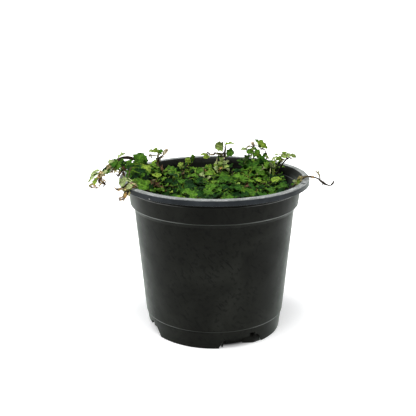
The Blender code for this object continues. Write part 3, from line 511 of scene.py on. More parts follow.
# Fine twigs of those plants, besides the stems above: points, and radii at both ends
TWIGS = {
    "trailing_stem_upper": (
        (((-72.8, -8, 137.6), (-74.8, -11, 133.7), (-77.6, -14, 130.3)), 0.6, 0.4),
        (((-60, 7, 139), (-66, 7, 140.4), (-71, 5, 141.8), (-75.5, 2, 142), (-78.6, -2, 140.4)), 0.9, 0.6),
        (((-90, -14, 130.3), (-90.4, -17, 128.2), (-88.2, -19, 127.1), (-87.1, -19, 125.8)), 0.45, 0.35),
    ),
    "trailing_stem_lower": (
        (((-65.7, -44, 127.4), (-66.5, -47, 125.2), (-68.1, -48, 123), (-70.8, -48, 121.6)), 0.5, 0.35),
    ),
    "upright_sprig_1": (
        (((-49.2, 33, 128.1), (-48.9, 34.5, 131.2), (-48.3, 35.5, 133.7), (-48.8, 36, 137.1)), 1.6, 0.75),
    ),
    "upright_sprig_2": (
        (((8.9, 55.5, 131.6), (9.3, 56, 136.3), (10, 56, 139.8)), 1.2, 0.9),
        (((8.7, 55.5, 133.9), (7.8, 55.5, 135.5), (7.2, 55, 137.5)), 0.45, 0.3),
        (((9.9, 56, 139.6), (9.8, 56, 141.8), (9.4, 56, 142.8)), 0.4, 0.3),
    ),
    "upright_sprig_3": (
        (((34.9, 54, 141.8), (36.7, 54, 142.6), (38.8, 53.5, 143)), 0.4, 0.3),
        (((34.6, 54, 139.5), (32.9, 54, 142), (30.2, 53.5, 141.5), (27.9, 53, 140)), 0.45, 0.35),
    ),
    "upright_sprig_4": (
        (((61.5, 25, 137.7), (63.2, 24.5, 138), (64.5, 24, 137.9)), 0.5, 0.35),
    ),
    "bare_twig": (
        (((70.2, -16, 129.9), (72.2, -15, 131), (75, -13.5, 131.1), (78, -12, 130.4), (81.6, -9, 128.9)),
         0.85, 0.7),
        (((85.5, -6, 126.1), (88.1, -4.5, 123.9), (90.1, -3, 122.2), (92.9, -1, 120.7)), 0.75, 0.7),
        (((89.2, -4, 122.9), (91.5, -2, 121.6)), 1, 0.7),
        (((96.6, 3.5, 119.8), (98.3, 5.5, 121.2), (99.4, 7, 122.5)), 0.6, 0.45),
        (((88.4, -4.5, 122.9), (88.2, -5, 121)), 0.35, 0.25),
    ),
}

# Fine leaves of those plants: heel, tip, width, how many degrees the upper face is tilted up from the
# front, and kind
FRONT = Vector((0, -0.96, 0.28))
FINE_LEAVES = {
    "trailing_stem_upper": (
        ((-62, 2, 136.1), (-60.1, 7, 146), 12, 10, "green"),
        ((-57.7, 3, 136.3), (-55.6, 6, 142.4), 5, 20, "green"),
        ((-59.8, 0, 138.6), (-64.3, -5, 135.5), 5.5, 20, "mid"),
        ((-63.2, -8, 136.4), (-54.3, -15, 131.8), 7.9, 20, "deep"),
        ((-55.7, -4, 138), (-53, -11, 133), 6.8, 15, "lime"),
        ((-64.9, -4, 136.1), (-67.4, -10, 132.8), 4.7, 0, "deep"),
        ((-60.5, -12, 133.1), (-64.5, -20, 130.1), 5.2, 10, "dark"),
        ((-57.1, -14, 131.9), (-51.1, -21, 129.2), 5.4, 15, "dark"),
        ((-55.7, 6, 140.2), (-58.6, 1, 136.3), 5, 20, "deep"),
        ((-64.4, -8, 133.4), (-60.8, -14, 130.3), 4.2, -10, "dark"),
        ((-65.8, -2, 138.3), (-70, -8, 135.1), 4.9, 30, "deep"),
        ((-60.1, -6, 135.4), (-56.4, -2, 136.7), 4.8, 30, "fresh"),
        ((-52.1, -10, 133.9), (-56.9, -16, 130.9), 5.6, 25, "mid"),
        ((-79.2, 4, 142), (-72.6, 4, 146), 4.7, 50, "pale"),
        ((-71, -1, 141.2), (-68, -5, 135), 9.6, 15, "green"),
        ((-77.5, -3, 140.1), (-77.9, -8, 135.1), 6.3, 10, "fresh"),
        ((-81.6, -1, 141), (-86, -4, 140), 4.8, 20, "pale"),
        ((-79.4, 1, 140.3), (-83.3, 0, 136.7), 4.2, 20, "deep"),
        ((-75.8, 2, 141.4), (-81.1, 1, 140.2), 3.2, 40, "deep"),
        ((-73.3, 0, 140.1), (-76.1, -3, 137.2), 4.3, -10, "deep"),
        ((-79.8, -1, 138.1), (-81.5, -4, 133.8), 3.6, 20, "deep"),
        ((-74, -5, 136.9), (-75.5, -9, 134.5), 4, -20, "mid"),
        ((-82, -3, 136.7), (-85.9, -6, 135.4), 6.9, 0, "olive"),
        ((-84.2, -5, 134.9), (-87.2, -8, 132.6), 6.2, 20, "olive"),
        ((-82.6, -4, 134.6), (-84.7, -7, 132.7), 4.8, -30, "tan"),
        ((-86.1, -6, 136.6), (-90.2, -10, 133.9), 3.2, 30, "deep"),
        ((-86.8, -8, 134.3), (-89, -11, 132.2), 4.1, 0, "olive"),
        ((-88.2, -11, 132.2), (-93.4, -15, 132.2), 6.8, 0, "gold"),
        ((-89.3, -12, 133.9), (-92.7, -14, 133.9), 3.8, 30, "tan"),
        ((-89.6, -14, 130.9), (-94.8, -18, 129.9), 3.8, 20, "gold"),
        ((-91.8, -13, 136.3), (-98.1, -18, 131.9), 3.8, 40, "pale"),
        ((-93.8, -14, 134.4), (-97.6, -18, 132.1), 2.4, 10, "fresh"),
        ((-92.2, -14, 134), (-99.8, -22, 128), 3.8, 35, "pale"),
        ((-93.7, -18, 130.9), (-94.9, -23, 126.5), 4.1, 10, "lime"),
        ((-95.5, -22, 127), (-99.1, -25, 125.8), 3.4, 30, "olive"),
        ((-99, -24, 125.7), (-95.3, -25, 124.4), 2.5, 10, "olive"),
        ((-95.5, -24, 124.3), (-91.6, -22, 124.4), 2.3, -20, "tan"),
        ((-91.6, -22, 124.6), (-89.4, -20, 126.5), 2.8, 30, "olive"),
        ((-90.3, -16, 129.9), (-86.1, -18, 127.3), 2.2, 20, "tan"),
        ((-88.9, -17, 127.6), (-86.1, -18, 129.8), 1.9, 0, "tan"),
        ((-92.5, -17, 129.2), (-90.9, -19, 126.1), 3, 0, "brown"),
        ((-89.8, -18, 127.3), (-87.2, -19, 125.6), 2.5, 10, "brown"),
        ((-87.2, -19, 125.8), (-88.3, -21, 124.1), 2.3, 0, "brown"),
        ((-76.2, -10, 133.4), (-80.8, -9, 134.2), 2.5, 20, "olive"),
        ((-75.7, -12, 131.6), (-78.8, -12, 132.7), 2.5, -20, "brown"),
        ((-74.1, -8, 137.1), (-70.3, -12, 135.4), 4.2, 10, "brown"),
        ((-67, -10, 134.4), (-68.4, -18, 129.3), 5.4, 15, "mid"),
        ((-65.6, 6, 140.7), (-63.8, 9, 143.4), 3.9, 30, "mid"),
        ((-69.6, -7, 135), (-67, -13, 129.4), 6.4, 15, "green"),
        ((-66.6, -5, 136.4), (-63.6, -11, 131.5), 6, 15, "mid"),
        ((-79.6, 1, 141.6), (-83, -2, 138), 6, 10, "mid"),
        ((-74.4, -3, 137), (-73.6, -7, 133), 4.6, 10, "olive"),
        ((-84.6, -3, 138.4), (-88, -6, 136.2), 4.4, 10, "olive"),
        ((-80.4, -4, 135.4), (-83.4, -6, 133.4), 3.8, 10, "olive"),
        ((-77.2, -4, 134.6), (-75.4, -7, 131.8), 3.6, 0, "tan"),
        ((-63.4, -14, 131), (-66.6, -20, 127.4), 5.6, 10, "dark"),
        ((-72.2, -2, 140.8), (-75, -4, 136.6), 4.8, 20, "deep"),
        ((-80, 2, 141.5), (-77, -1, 137.5), 5.6, 15, "deep"),
        ((-77, 1, 141.8), (-73.6, -2, 138), 5.4, 15, "mid"),
        ((-74.5, -2, 137.8), (-71.6, -6, 133.6), 5.4, 10, "deep"),
        ((-82, 0, 139.6), (-84.6, -4, 135.6), 5.2, 10, "mid"),
        ((-78.6, -4, 136), (-80.8, -8, 132.6), 4.6, 10, "olive"),
        ((-73.8, -8, 133), (-72.2, -12, 129.6), 4.2, 10, "brown"),
        ((-91.6, -15, 131.4), (-94.6, -19, 128.6), 3.6, 10, "olive"),
        ((-96, -22, 126.6), (-92.8, -24, 124.6), 3, 10, "gold"),
        ((-90.6, -16, 128.8), (-88, -18, 126.4), 3.2, 10, "tan"),
        ((-82.8, -9, 138.6), (-86.4, -12, 136.4), 4.4, 15, "olive"),
        ((-80.2, -6, 140.2), (-83.2, -10, 137.2), 4.6, 15, "mid"),
        ((-86.2, -13, 136), (-88.6, -16, 133), 3.8, 10, "pale"),
        ((-88, -14, 134.4), (-90.6, -18, 131.6), 4, 10, "olive"),
        ((-78.4, -4, 141.8), (-81.4, -8, 139), 4.2, 20, "green"),
        ((-84.4, -10, 136.4), (-86.6, -14, 133.2), 4, 0, "fresh"),
        ((-66.4, 0, 137.8), (-62.6, -3, 133.8), 5.2, 10, "deep"),
        ((-90.4, -15, 130.4), (-91.4, -18, 127.6), 3.6, 10, "brown"),
        ((-88.6, -17, 127.2), (-86.4, -19, 125), 3.2, 10, "brown"),
        ((-91, -17, 128.4), (-88.8, -19, 127), 3, 10, "olive"),
        ((-98.4, -24, 125.6), (-95.8, -25, 124.4), 2.6, 0, "brown"),
        ((-95, -24, 124.2), (-92.4, -23, 124), 2.4, 0, "brown"),
    ),
    "trailing_stem_lower": (
        ((-68.5, -28, 133.2), (-74, -33, 129.3), 6.7, 0, "pale"),
        ((-70, -30, 131.2), (-71.4, -35, 127.8), 4.2, 25, "pale"),
        ((-67.8, -36, 128.2), (-62, -38, 129), 3.9, 30, "lime"),
        ((-68.1, -34, 128.6), (-72.3, -36, 127.4), 2.3, 30, "pale"),
        ((-64.9, -32, 129.3), (-63.5, -30, 132.4), 3.3, 10, "lime"),
        ((-62.1, -36, 129.8), (-59.1, -39, 127.7), 4.3, 10, "brown"),
        ((-63, -35, 130), (-59.7, -37, 129.4), 3.1, -20, "gold"),
        ((-61.7, -38, 128.2), (-58.7, -41, 127.1), 3.4, 20, "brown"),
        ((-72.3, -40, 127), (-76, -42, 127.1), 2.8, 20, "tan"),
        ((-75.1, -41, 127.6), (-76.7, -43, 130.3), 2, 0, "tan"),
        ((-69.3, -38, 128.1), (-72, -41, 127), 4, 10, "olive"),
        ((-71.2, -38, 128.9), (-69.1, -41, 126.6), 2.5, -20, "mid"),
        ((-65.8, -42, 126.9), (-68.7, -45, 126.3), 4.2, 10, "olive"),
        ((-65.1, -43, 126.4), (-65.4, -46, 123.7), 3.9, 0, "olive"),
        ((-68.4, -45, 126.3), (-68.8, -47, 123.5), 2.9, 0, "olive"),
        ((-66.2, -46, 124.5), (-68, -48, 122.2), 3.6, 20, "gold"),
        ((-67.3, -44, 126.5), (-66.3, -46, 124.5), 2.8, -20, "gold"),
        ((-67.7, -47, 122.4), (-70.1, -48, 123.5), 1.8, 0, "gold"),
        ((-68, -48, 121.7), (-70.4, -49, 121), 2.1, 20, "brown"),
        ((-70.3, -48, 123), (-72.8, -49, 122.8), 2.3, 0, "gold"),
        ((-72.6, -49, 122.8), (-71.9, -50, 120.9), 2.4, 10, "brown"),
        ((-72.1, -49, 120.9), (-70.1, -49, 121.4), 1.7, 0, "gold"),
        ((-69.1, -48, 121.6), (-68.9, -49, 120.3), 1.4, 0, "tan"),
        ((-59.6, -38, 131.7), (-50, -46, 129.7), 9, 10, "fresh"),
        ((-54.2, -41, 132.2), (-49.1, -40, 133), 4.1, 30, "fresh"),
        ((-56.9, -43, 129.2), (-52.7, -47, 127.8), 3.5, 0, "fresh"),
        ((-67.6, -32, 129.3), (-65.6, -36, 127.1), 1.8, 0, "mid"),
        ((-63.8, -27, 131.9), (-59.7, -32, 129.9), 4, 10, "fresh"),
        ((-64, -38, 128.1), (-59.7, -41, 126.8), 3, 20, "deep"),
        ((-67.8, -26, 131.4), (-64.6, -32, 129.1), 4.1, 15, "mid"),
        ((-61.7, -29, 130.9), (-58.4, -26, 132.3), 4.6, 30, "mid"),
        ((-67.1, -38, 127.4), (-69, -41, 126.3), 3.4, 0, "olive"),
        ((-68.6, -38, 129.6), (-63, -42, 128.4), 4.4, 25, "lime"),
        ((-63.4, -36, 130.6), (-58, -41, 129), 4.6, 20, "green"),
        ((-66.4, -45, 125.6), (-68.8, -47, 122.6), 3.4, 10, "gold"),
        ((-70, -39, 128), (-75, -41, 127.4), 2.8, 15, "olive"),
        ((-66, -43, 129.2), (-70, -46, 127.2), 4.2, 10, "olive"),
        ((-70.4, -43, 128.2), (-74, -45, 127.4), 3.2, 10, "tan"),
        ((-63.4, -41, 130.8), (-66.8, -45, 128.8), 4.2, 15, "pale"),
        ((-59.6, -41, 130.4), (-63, -45, 129), 3.8, 10, "brown"),
        ((-62, -40, 131.6), (-58.4, -44, 130), 3.4, 20, "olive"),
    ),
    "upright_sprig_1": (
        ((-50.6, 35, 141), (-56.1, 33, 141.8), 4.1, 35, "bright"),
        ((-49.1, 36, 140.8), (-43.8, 37, 141.1), 4.3, 30, "green"),
        ((-49.2, 37, 140.5), (-51.3, 39, 143.3), 4, 20, "lime"),
        ((-48, 35, 141.1), (-53.3, 33, 142.1), 4.1, 30, "lime"),
        ((-47.2, 34, 141.2), (-44.9, 31, 139.7), 2.8, 0, "green"),
        ((-53.3, 34, 137.9), (-56.5, 33, 137.5), 5, 20, "olive"),
        ((-54.2, 34, 136.8), (-53.5, 33, 135.3), 2.3, 0, "olive"),
        ((-49.3, 34, 133.5), (-50.1, 34, 135.9), 2, 10, "cream"),
        ((-49.7, 33, 134), (-53.4, 30, 130), 3.4, 30, "lime"),
        ((-44, 34, 138.4), (-40, 34, 142.1), 3.6, 20, "cream"),
        ((-41.4, 34, 141), (-41.4, 34, 144.1), 5.7, 30, "tan"),
        ((-42.6, 34, 139.8), (-42.7, 35, 143.1), 2.2, 10, "cream"),
        ((-46.5, 35, 132.4), (-46.9, 35, 134.5), 2.1, 0, "tan"),
        ((-47.9, 35, 139.2), (-46.5, 34, 137.9), 2.6, 0, "olive"),
        ((-48.6, 35, 128.6), (-48.2, 35.5, 134.6), 3.6, 0, "brown"),
        ((-49.4, 35, 133), (-47.6, 35.5, 139.6), 3.4, 0, "olive"),
        ((-47, 34.5, 130), (-49.6, 34, 133.6), 2.8, 0, "mid"),
        ((-47.4, 35, 133.6), (-42.6, 34.4, 137.6), 2.6, 10, "tan"),
    ),
    "upright_sprig_2": (
        ((8, 55, 141), (0.4, 52, 143), 9.4, 5, "bright"),
        ((9.4, 56, 142.7), (17.6, 57, 143.4), 5, 55, "lime"),
        ((10.6, 55, 135.1), (17.5, 53, 136.6), 9.1, 10, "green"),
        ((13.3, 55, 137.1), (15.6, 57, 139.6), 3, 20, "mid"),
        ((-4.6, 56, 132.9), (-9.8, 52, 132), 5.3, 15, "lime"),
        ((-5.6, 56, 133.5), (-12.5, 55, 133.9), 3.5, 45, "lime"),
        ((-3.8, 56, 133.8), (-7, 57, 136), 3.1, 10, "brown"),
        ((0.1, 56, 133.8), (-3.7, 56, 133.7), 2.8, 10, "tan"),
        ((1.4, 56, 135.8), (-0.7, 55, 135.1), 2.7, 0, "brown"),
        ((7.5, 55, 133.3), (2.5, 54, 135.1), 5.8, 20, "olive"),
        ((6.1, 55, 132.9), (2.7, 53, 131.9), 3.3, 0, "green"),
        ((4.1, 55, 134.8), (1.6, 55, 135.9), 2.8, 10, "olive"),
        ((7.5, 54, 131.9), (4.6, 51, 130), 4.1, 10, "bright"),
        ((2, 52, 128.9), (0.8, 49, 125.2), 2.7, 10, "pale"),
        ((6.4, 52, 128.7), (3.4, 49, 126.5), 3.9, 10, "bright"),
        ((5.9, 52, 129.1), (9, 49, 127.4), 3.3, 0, "lime"),
        ((9.1, 52, 127.3), (13.2, 52, 129.4), 2.9, 30, "pale"),
        ((7.5, 53, 130.5), (9.3, 53, 132.1), 1.5, 0, "cream"),
        ((10, 55, 132.2), (13.2, 54, 133), 1.9, 30, "pale"),
    ),
    "upright_sprig_3": (
        ((37.9, 54, 146.3), (46.6, 50, 140.7), 5.7, 5, "lime"),
        ((39.9, 54, 144.3), (35.9, 55, 147.9), 3.1, 15, "green"),
        ((40.8, 54, 142.7), (41.3, 55, 147.7), 5.2, 15, "lime"),
        ((38.8, 53.5, 142.8), (41.7, 52, 141.5), 3.4, 0, "lime"),
        ((35.1, 54, 142.9), (32.3, 53, 145), 4.3, 15, "tan"),
        ((28.6, 53, 139.3), (23.4, 51, 139.4), 4, 30, "pale"),
        ((32.6, 53, 142.4), (27.9, 52, 140.4), 3.1, 30, "olive"),
        ((34.1, 53, 138.2), (28.1, 50, 137.1), 5.6, 10, "fresh"),
        ((30.8, 51, 137.4), (30.1, 49, 132.5), 2.3, 10, "mid"),
        ((33.4, 52, 136.7), (31.9, 49, 132.3), 2.3, 10, "pale"),
        ((34.4, 54, 141.4), (33.5, 52, 138.3), 3.3, 10, "lime"),
        ((35.2, 54, 141.1), (36.7, 52, 139.2), 2.4, 20, "green"),
        ((36, 53, 138.4), (40.1, 50, 136.9), 5.1, 10, "fresh"),
        ((36.9, 52, 135.9), (40.8, 49, 131.9), 5.4, 10, "green"),
        ((36, 53, 137), (35.3, 50, 132.8), 3.5, 20, "fresh"),
        ((37.5, 51, 137.4), (39.2, 49, 134.2), 3.2, -20, "lime"),
        ((44.9, 53, 136.3), (43, 50, 131.3), 2.9, 10, "green"),
        ((45.6, 53, 135.2), (46.7, 50, 131.5), 2.6, 0, "bright"),
        ((46, 53, 135.5), (47.2, 53, 136.6), 2.1, 0, "tan"),
        ((46.6, 52, 133.1), (48.4, 51, 131.1), 1.3, 0, "pale"),
        ((40.6, 53, 139.5), (42.8, 52, 139.5), 2.7, 0, "brown"),
        ((34.6, 54, 141.8), (32.4, 54, 145.6), 4.8, 30, "cream"),
    ),
    "upright_sprig_4": (
        ((63.5, 25, 139.8), (55.4, 21, 139.8), 5.4, 15, "bright"),
        ((60.7, 26, 141.1), (64.4, 25, 140.1), 2.9, 20, "bright"),
        ((58.9, 25, 140.3), (59.7, 27, 142.7), 5.1, 30, "lime"),
        ((64.2, 24.5, 140.8), (68.9, 22, 138.9), 4.4, 10, "bright"),
        ((56, 24, 141.1), (50.2, 22, 140.5), 2, 40, "pale"),
        ((60.9, 25, 137.7), (62.9, 24, 136.7), 3.2, 0, "brown"),
        ((63.5, 24.5, 138.2), (65.5, 24, 137.1), 2.9, 0, "brown"),
        ((56.3, 23, 138.9), (51.7, 20, 136.9), 3.4, 10, "lime"),
        ((53.4, 23, 139.2), (48, 20, 136.8), 2.9, 30, "pale"),
        ((51.9, 21, 136.9), (48.4, 18, 134.6), 2.9, 0, "lime"),
        ((58.4, 24, 136.7), (55.8, 21, 135.2), 3.4, 20, "olive"),
    ),
    "bare_twig": (
        ((85.5, -5, 129.5), (82.7, -6, 133.1), 3.4, 10, "olive"),
        ((84.1, -5.5, 131.3), (84.5, -5, 133.9), 1.3, 0, "pale"),
        ((83.3, -6, 132.3), (81.6, -6, 134.1), 1.9, 0, "tan"),
        ((77.6, -12, 130.8), (80, -12, 129.5), 2.5, 0, "gold"),
        ((70.1, -15, 130.5), (66.1, -18, 130.3), 4.9, 20, "olive"),
        ((68.9, -16, 129.1), (65.6, -19, 128.4), 3.1, 0, "lime"),
        ((65.7, -18, 128.1), (62, -20, 128.8), 2.5, 20, "pale"),
        ((67.6, -18, 127.6), (64.3, -21, 126.1), 3, 10, "lime"),
        ((66.1, -19, 127.1), (63.2, -21, 126.4), 3.7, -20, "olive"),
        ((69.2, -16, 130.4), (68.2, -19, 127.4), 3.8, 0, "olive"),
        ((63.4, -19, 127.1), (60.4, -22, 125.7), 2.5, 20, "mid"),
    ),
}


# Outline of the pot and the soil


def pot_outside(bead=0.0):
    """The pot's outer profile, from its axis under the base plate up to the rim's edge, with or without bead."""
    foot_at_plate = FOOT_RADIUS + (FOOT_TOP_RADIUS - FOOT_RADIUS) * BASE_PLATE / FOOT_HEIGHT
    flange_under = POT_HEIGHT - WALL
    profile = [
        (0, BASE_PLATE),
        (BASE_RING_RADIUS - WALL, BASE_PLATE),
        (BASE_RING_RADIUS - WALL, BASE_RING_LOW),
        (BASE_RING_RADIUS, BASE_RING_LOW),
        (BASE_RING_RADIUS, BASE_PLATE),
        (foot_at_plate - WALL, BASE_PLATE),
        (FOOT_RADIUS - WALL, 0),
        (FOOT_RADIUS, 0),
        (FOOT_TOP_RADIUS, FOOT_HEIGHT),
        (BODY_LOW_RADIUS, FOOT_HEIGHT + FOOT_STEP),
        (BODY_TOP_RADIUS, BODY_TOP),
        (BODY_TOP_RADIUS + SHOULDER_OUT, BODY_TOP + SHOULDER_RISE),
        (BAND_LOW_RADIUS, BAND_LOW),
    ]
    if bead:
        slope = (BAND_TOP_RADIUS - BAND_LOW_RADIUS) / (BAND_TOP - BAND_LOW)
        wall = BAND_LOW_RADIUS + slope * (BEAD_HEIGHT - BAND_LOW)
        profile += [
            (wall, BEAD_HEIGHT - bead),
            (wall + bead, BEAD_HEIGHT),
            (wall + slope * bead, BEAD_HEIGHT + bead),
        ]
    profile += [
        (BAND_TOP_RADIUS, BAND_TOP),
        (BAND_TOP_RADIUS + WALL, flange_under),
        (RIM_RADIUS - WALL, flange_under),
        (RIM_RADIUS - WALL, POT_HEIGHT - SKIRT_HEIGHT),
        (RIM_RADIUS, POT_HEIGHT - SKIRT_HEIGHT),
        (RIM_RADIUS, POT_HEIGHT - RIM_CHAMFER),
    ]
    return profile


def pot_cavity():
    """The inner profile round the soil, from the band's lower edge down to the floor."""
    floor = BASE_PLATE + WALL
    return [
        (BAND_LOW_RADIUS - WALL, BAND_LOW + SHOULDER_THICKENING),
        (BODY_TOP_RADIUS + SHOULDER_OUT - WALL, BODY_TOP + SHOULDER_RISE + SHOULDER_THICKENING),
        (BODY_TOP_RADIUS - WALL, BODY_TOP + SHOULDER_THICKENING),
        (FOOT_TOP_RADIUS - WALL, floor + FLOOR_CORNER),
        (FOOT_TOP_RADIUS - WALL - FLOOR_CORNER, floor),
        (0, floor),
    ]


def pot_inside():
    """The pot's inner profile, from the flange's top down to the axis on the base plate."""
    return [
        (RIM_RADIUS - RIM_CHAMFER, POT_HEIGHT),
        (RIM_RADIUS - FLANGE_WIDTH, POT_HEIGHT),
        (BAND_TOP_RADIUS, POT_HEIGHT - WALL),
        (BAND_TOP_RADIUS - WALL, BAND_TOP),
        *pot_cavity(),
    ]


def turned(profile, sides):
    """The points and faces of a profile of (radius, height) turned round Z; radius 0 is a point on the axis."""
    vertices = []
    rings = []
    for radius, height in profile:
        count = sides if radius > 0 else 1
        rings.append(range(len(vertices), len(vertices) + count))
        for step in range(count):
            angle = math.tau * step / sides
            vertices.append((radius * math.cos(angle), radius * math.sin(angle), height))
    faces = []
    for low, high in zip(rings, rings[1:]):
        for step in range(sides):
            after = (step + 1) % sides
            corners = [low[step % len(low)], low[after % len(low)]]
            corners += [high[after % len(high)], high[step % len(high)]]
            faces.append(list(dict.fromkeys(corners)))
    return vertices, faces


def soil_height(x, y):
    """The soil's surface: low waves that flatten towards the wall."""
    waves = math.sin(0.15 * x + 0.8) * math.cos(0.12 * y) + 0.5 * math.sin(0.2 * y + 0.08 * x)
    edge = min(1.0, math.hypot(x, y) / BAND_LOW_RADIUS)
    return SOIL_LEVEL + SOIL_WAVE * waves * (1 - edge ** 3)


# The plants' rule


def tube(points, radii, sides):
    """A closed tube along the points, with a radius at each."""
    vertices = []
    side = None
    for index, point in enumerate(points):
        before = points[max(index - 1, 0)]
        after = points[min(index + 1, len(points) - 1)]
        along = (after - before).normalized()
        if side is None:
            side = along.orthogonal().normalized()
        side = (side - along * side.dot(along)).normalized()
        other = along.cross(side)
        for step in range(sides):
            angle = math.tau * step / sides
            spoke = side * math.cos(angle) + other * math.sin(angle)
            vertices.append(point + spoke * radii[index])
    faces = [tuple(range(sides)), tuple(range(len(vertices) - sides, len(vertices)))]
    for ring in range(0, len(vertices) - sides, sides):
        for step in range(sides):
            after = (step + 1) % sides
            faces.append((ring + step, ring + after, ring + sides + after, ring + sides + step))
    return vertices, faces


def tapered(points, start, end):
    """A radius for each point, from start to end."""
    last = len(points) - 1
    return [start + (end - start) * index / last for index in range(len(points))]


def leaf_solid(root, heel, tip, width, face, grow=0.0, petiole=True):
    """A lobed leaf as a plain slab with its petiole, for clearance tests; grow widens and thickens it."""
    along = (tip - heel).normalized()
    length = (tip - heel).length
    across = face.cross(along).normalized()
    normal = along.cross(across)
    stalk = (heel - root).normalized()
    stalk_side = (across - stalk * across.dot(stalk)).normalized()
    stalk_normal = stalk.cross(stalk_side)
    bend = (normal + stalk_normal).normalized()
    half = LEAF_THICKNESS / 2 + grow

    right = []
    left = []
    for share, spread in HALF_LEAF:
        lift = normal * (LEAF_FOLD * spread * width + LEAF_ARCH * share * (1 - share) * length)
        middle = heel + along * (share * length) + lift
        reach = across * (spread * width + grow)
        right.append(middle - reach)
        left.append(middle + reach)
    if petiole:
        stalk_reach = stalk_side * (PETIOLE_WIDTH / 2 + grow)
        right[0] = heel - across * (PETIOLE_WIDTH / 2 + grow)
        left[0] = heel + across * (PETIOLE_WIDTH / 2 + grow)
        right.insert(0, root - stalk_reach)
        left.insert(0, root + stalk_reach)
    outline = right + [tip + along * grow] + left[::-1]
    thick = [normal] * len(outline)
    if petiole:
        thick[0] = thick[-1] = stalk_normal
        thick[1] = thick[-2] = bend
    top = [point + way * half for point, way in zip(outline, thick)]
    bottom = [point - way * half for point, way in zip(outline, thick)]

    count = len(outline)
    first = 1 if petiole else 0
    triangles = []
    if petiole:
        triangles += [(0, 1, count - 2), (0, count - 2, count - 1)]
    for lobe in (first, first + 2):
        heel_right, lobe_right, bay_right = lobe, lobe + 1, lobe + 2
        heel_left, lobe_left, bay_left = (count - 1 - index for index in (heel_right, lobe_right, bay_right))
        triangles += [(heel_right, lobe_right, bay_right), (heel_left, bay_left, lobe_left)]
        triangles += [(heel_right, bay_right, bay_left), (heel_right, bay_left, heel_left)]
    last = first + 4
    triangles.append((last, last + 1, count - 1 - last))
    faces = list(triangles)
    faces += [(c + count, b + count, a + count) for a, b, c in triangles]
    for index in range(count):
        after = (index + 1) % count
        faces.append((after, index, index + count))
        faces.append((after, index + count, after + count))
    return top + bottom, faces


class Solid:
    """One stem or leaf, with what a clearance test needs."""

    def __init__(self, shape, owner, is_stem):
        vertices, faces = shape
        self.owner = owner
        self.is_stem = is_stem
        self.tree = BVHTree.FromPolygons(vertices, faces)
        self.low = [min(vertex[axis] for vertex in vertices) for axis in range(3)]
        self.high = [max(vertex[axis] for vertex in vertices) for axis in range(3)]

    def meets(self, other):
        """Whether the surfaces cross."""
        for axis in range(3):
            if self.low[axis] > other.high[axis] or other.low[axis] > self.high[axis]:
                return False
        return bool(self.tree.overlap(other.tree))


class Plant:
    """One rooted plant: its solids, its stems and leaves, and the spots along stems where leaves can grow."""

    def __init__(self, name):
        self.name = name
        self.solids = []
        self.spots = []
        self.stems = []
        self.leaves = []

    def add_stem(self, points, start, end, sides):
        shape = tube(points, tapered(points, start, end), sides)
        self.solids.append(Solid(shape, self.name, True))
        share = FINE_STEM_SHARE if start == RUNNER_RADIUS else TWIG_SHARE
        self.stems.append((points, start * share, end * share))
        for one, other in zip(points, points[1:]):
            steps = max(1, round((other - one).length / SPOT_SPACING))
            self.spots += [one.lerp(other, step / steps) for step in range(steps + 1)]

    def free_spots(self):
        """The spots that are out of the soil."""
        return [spot for spot in self.spots if spot.z > soil_height(spot.x, spot.y) + SPOT_HEIGHT]

    def nearest_spot(self, point):
        """The nearest spot that is higher than the soil under the point."""
        ground = soil_height(point.x, point.y)
        above = [spot for spot in self.spots if spot.z > ground + SPOT_HEIGHT]
        return min(above, key=lambda spot: (spot - point).length_squared)

    def add_leaf_solid(self, heel, tip, width, face):
        root = self.nearest_spot(heel)
        if (heel - root).length < SHORTEST_PETIOLE:
            heel = root + (tip - root).normalized() * SHORTEST_PETIOLE
        self.solids.append(Solid(leaf_solid(root, heel, tip, width, face), self.name, False))


def rooted(x, y, *points):
    """A stem's points: a straight root in the soil at x, y, and then the points above it."""
    ground = soil_height(x, y)
    return [Vector((x, y, ground - ROOT_DEPTH)), Vector((x, y, ground + STEM_START)), *map(Vector, points)]


def standing_plant(name, plan):
    plant = Plant(name)
    plant.add_stem(rooted(*plan["root"], *plan["main"]), *plan["radii"], STEM_SIDES)
    for points, start, end in plan["sides"]:
        plant.add_stem([Vector(point) for point in points], start, end, STEM_SIDES)
    for heel, tip, width, face in plan["leaves"]:
        plant.add_leaf_solid(Vector(heel), Vector(tip), width, Vector(face))
    return plant


def mat_height(x, y):
    """Where the mat's leaves lie: nearly level, with mounds."""
    height = MAT_LEVEL + MAT_WAVE * math.sin(0.19 * x + 0.5) * math.cos(0.23 * y)
    for mound_x, mound_y, reach, rise in MOUNDS:
        distance = math.hypot(x - mound_x, y - mound_y)
        height += rise * max(0.0, 1 - (distance / reach) ** 2)
    return height


def in_mat(x, y):
    return math.hypot(x, y) < MAT_RADIUS and x < MAT_RIGHT_EDGE


def clump_roots():
    """One root near the middle and six round it."""
    centre_x, centre_y = CLUMP_CENTRE
    roots = [(centre_x, centre_y)]
    for step in range(6):
        angle = math.radians(CLUMP_TURN + 60 * step)
        roots.append((centre_x + CLUMP_RING * math.cos(angle), centre_y + CLUMP_RING * math.sin(angle)))
    return roots


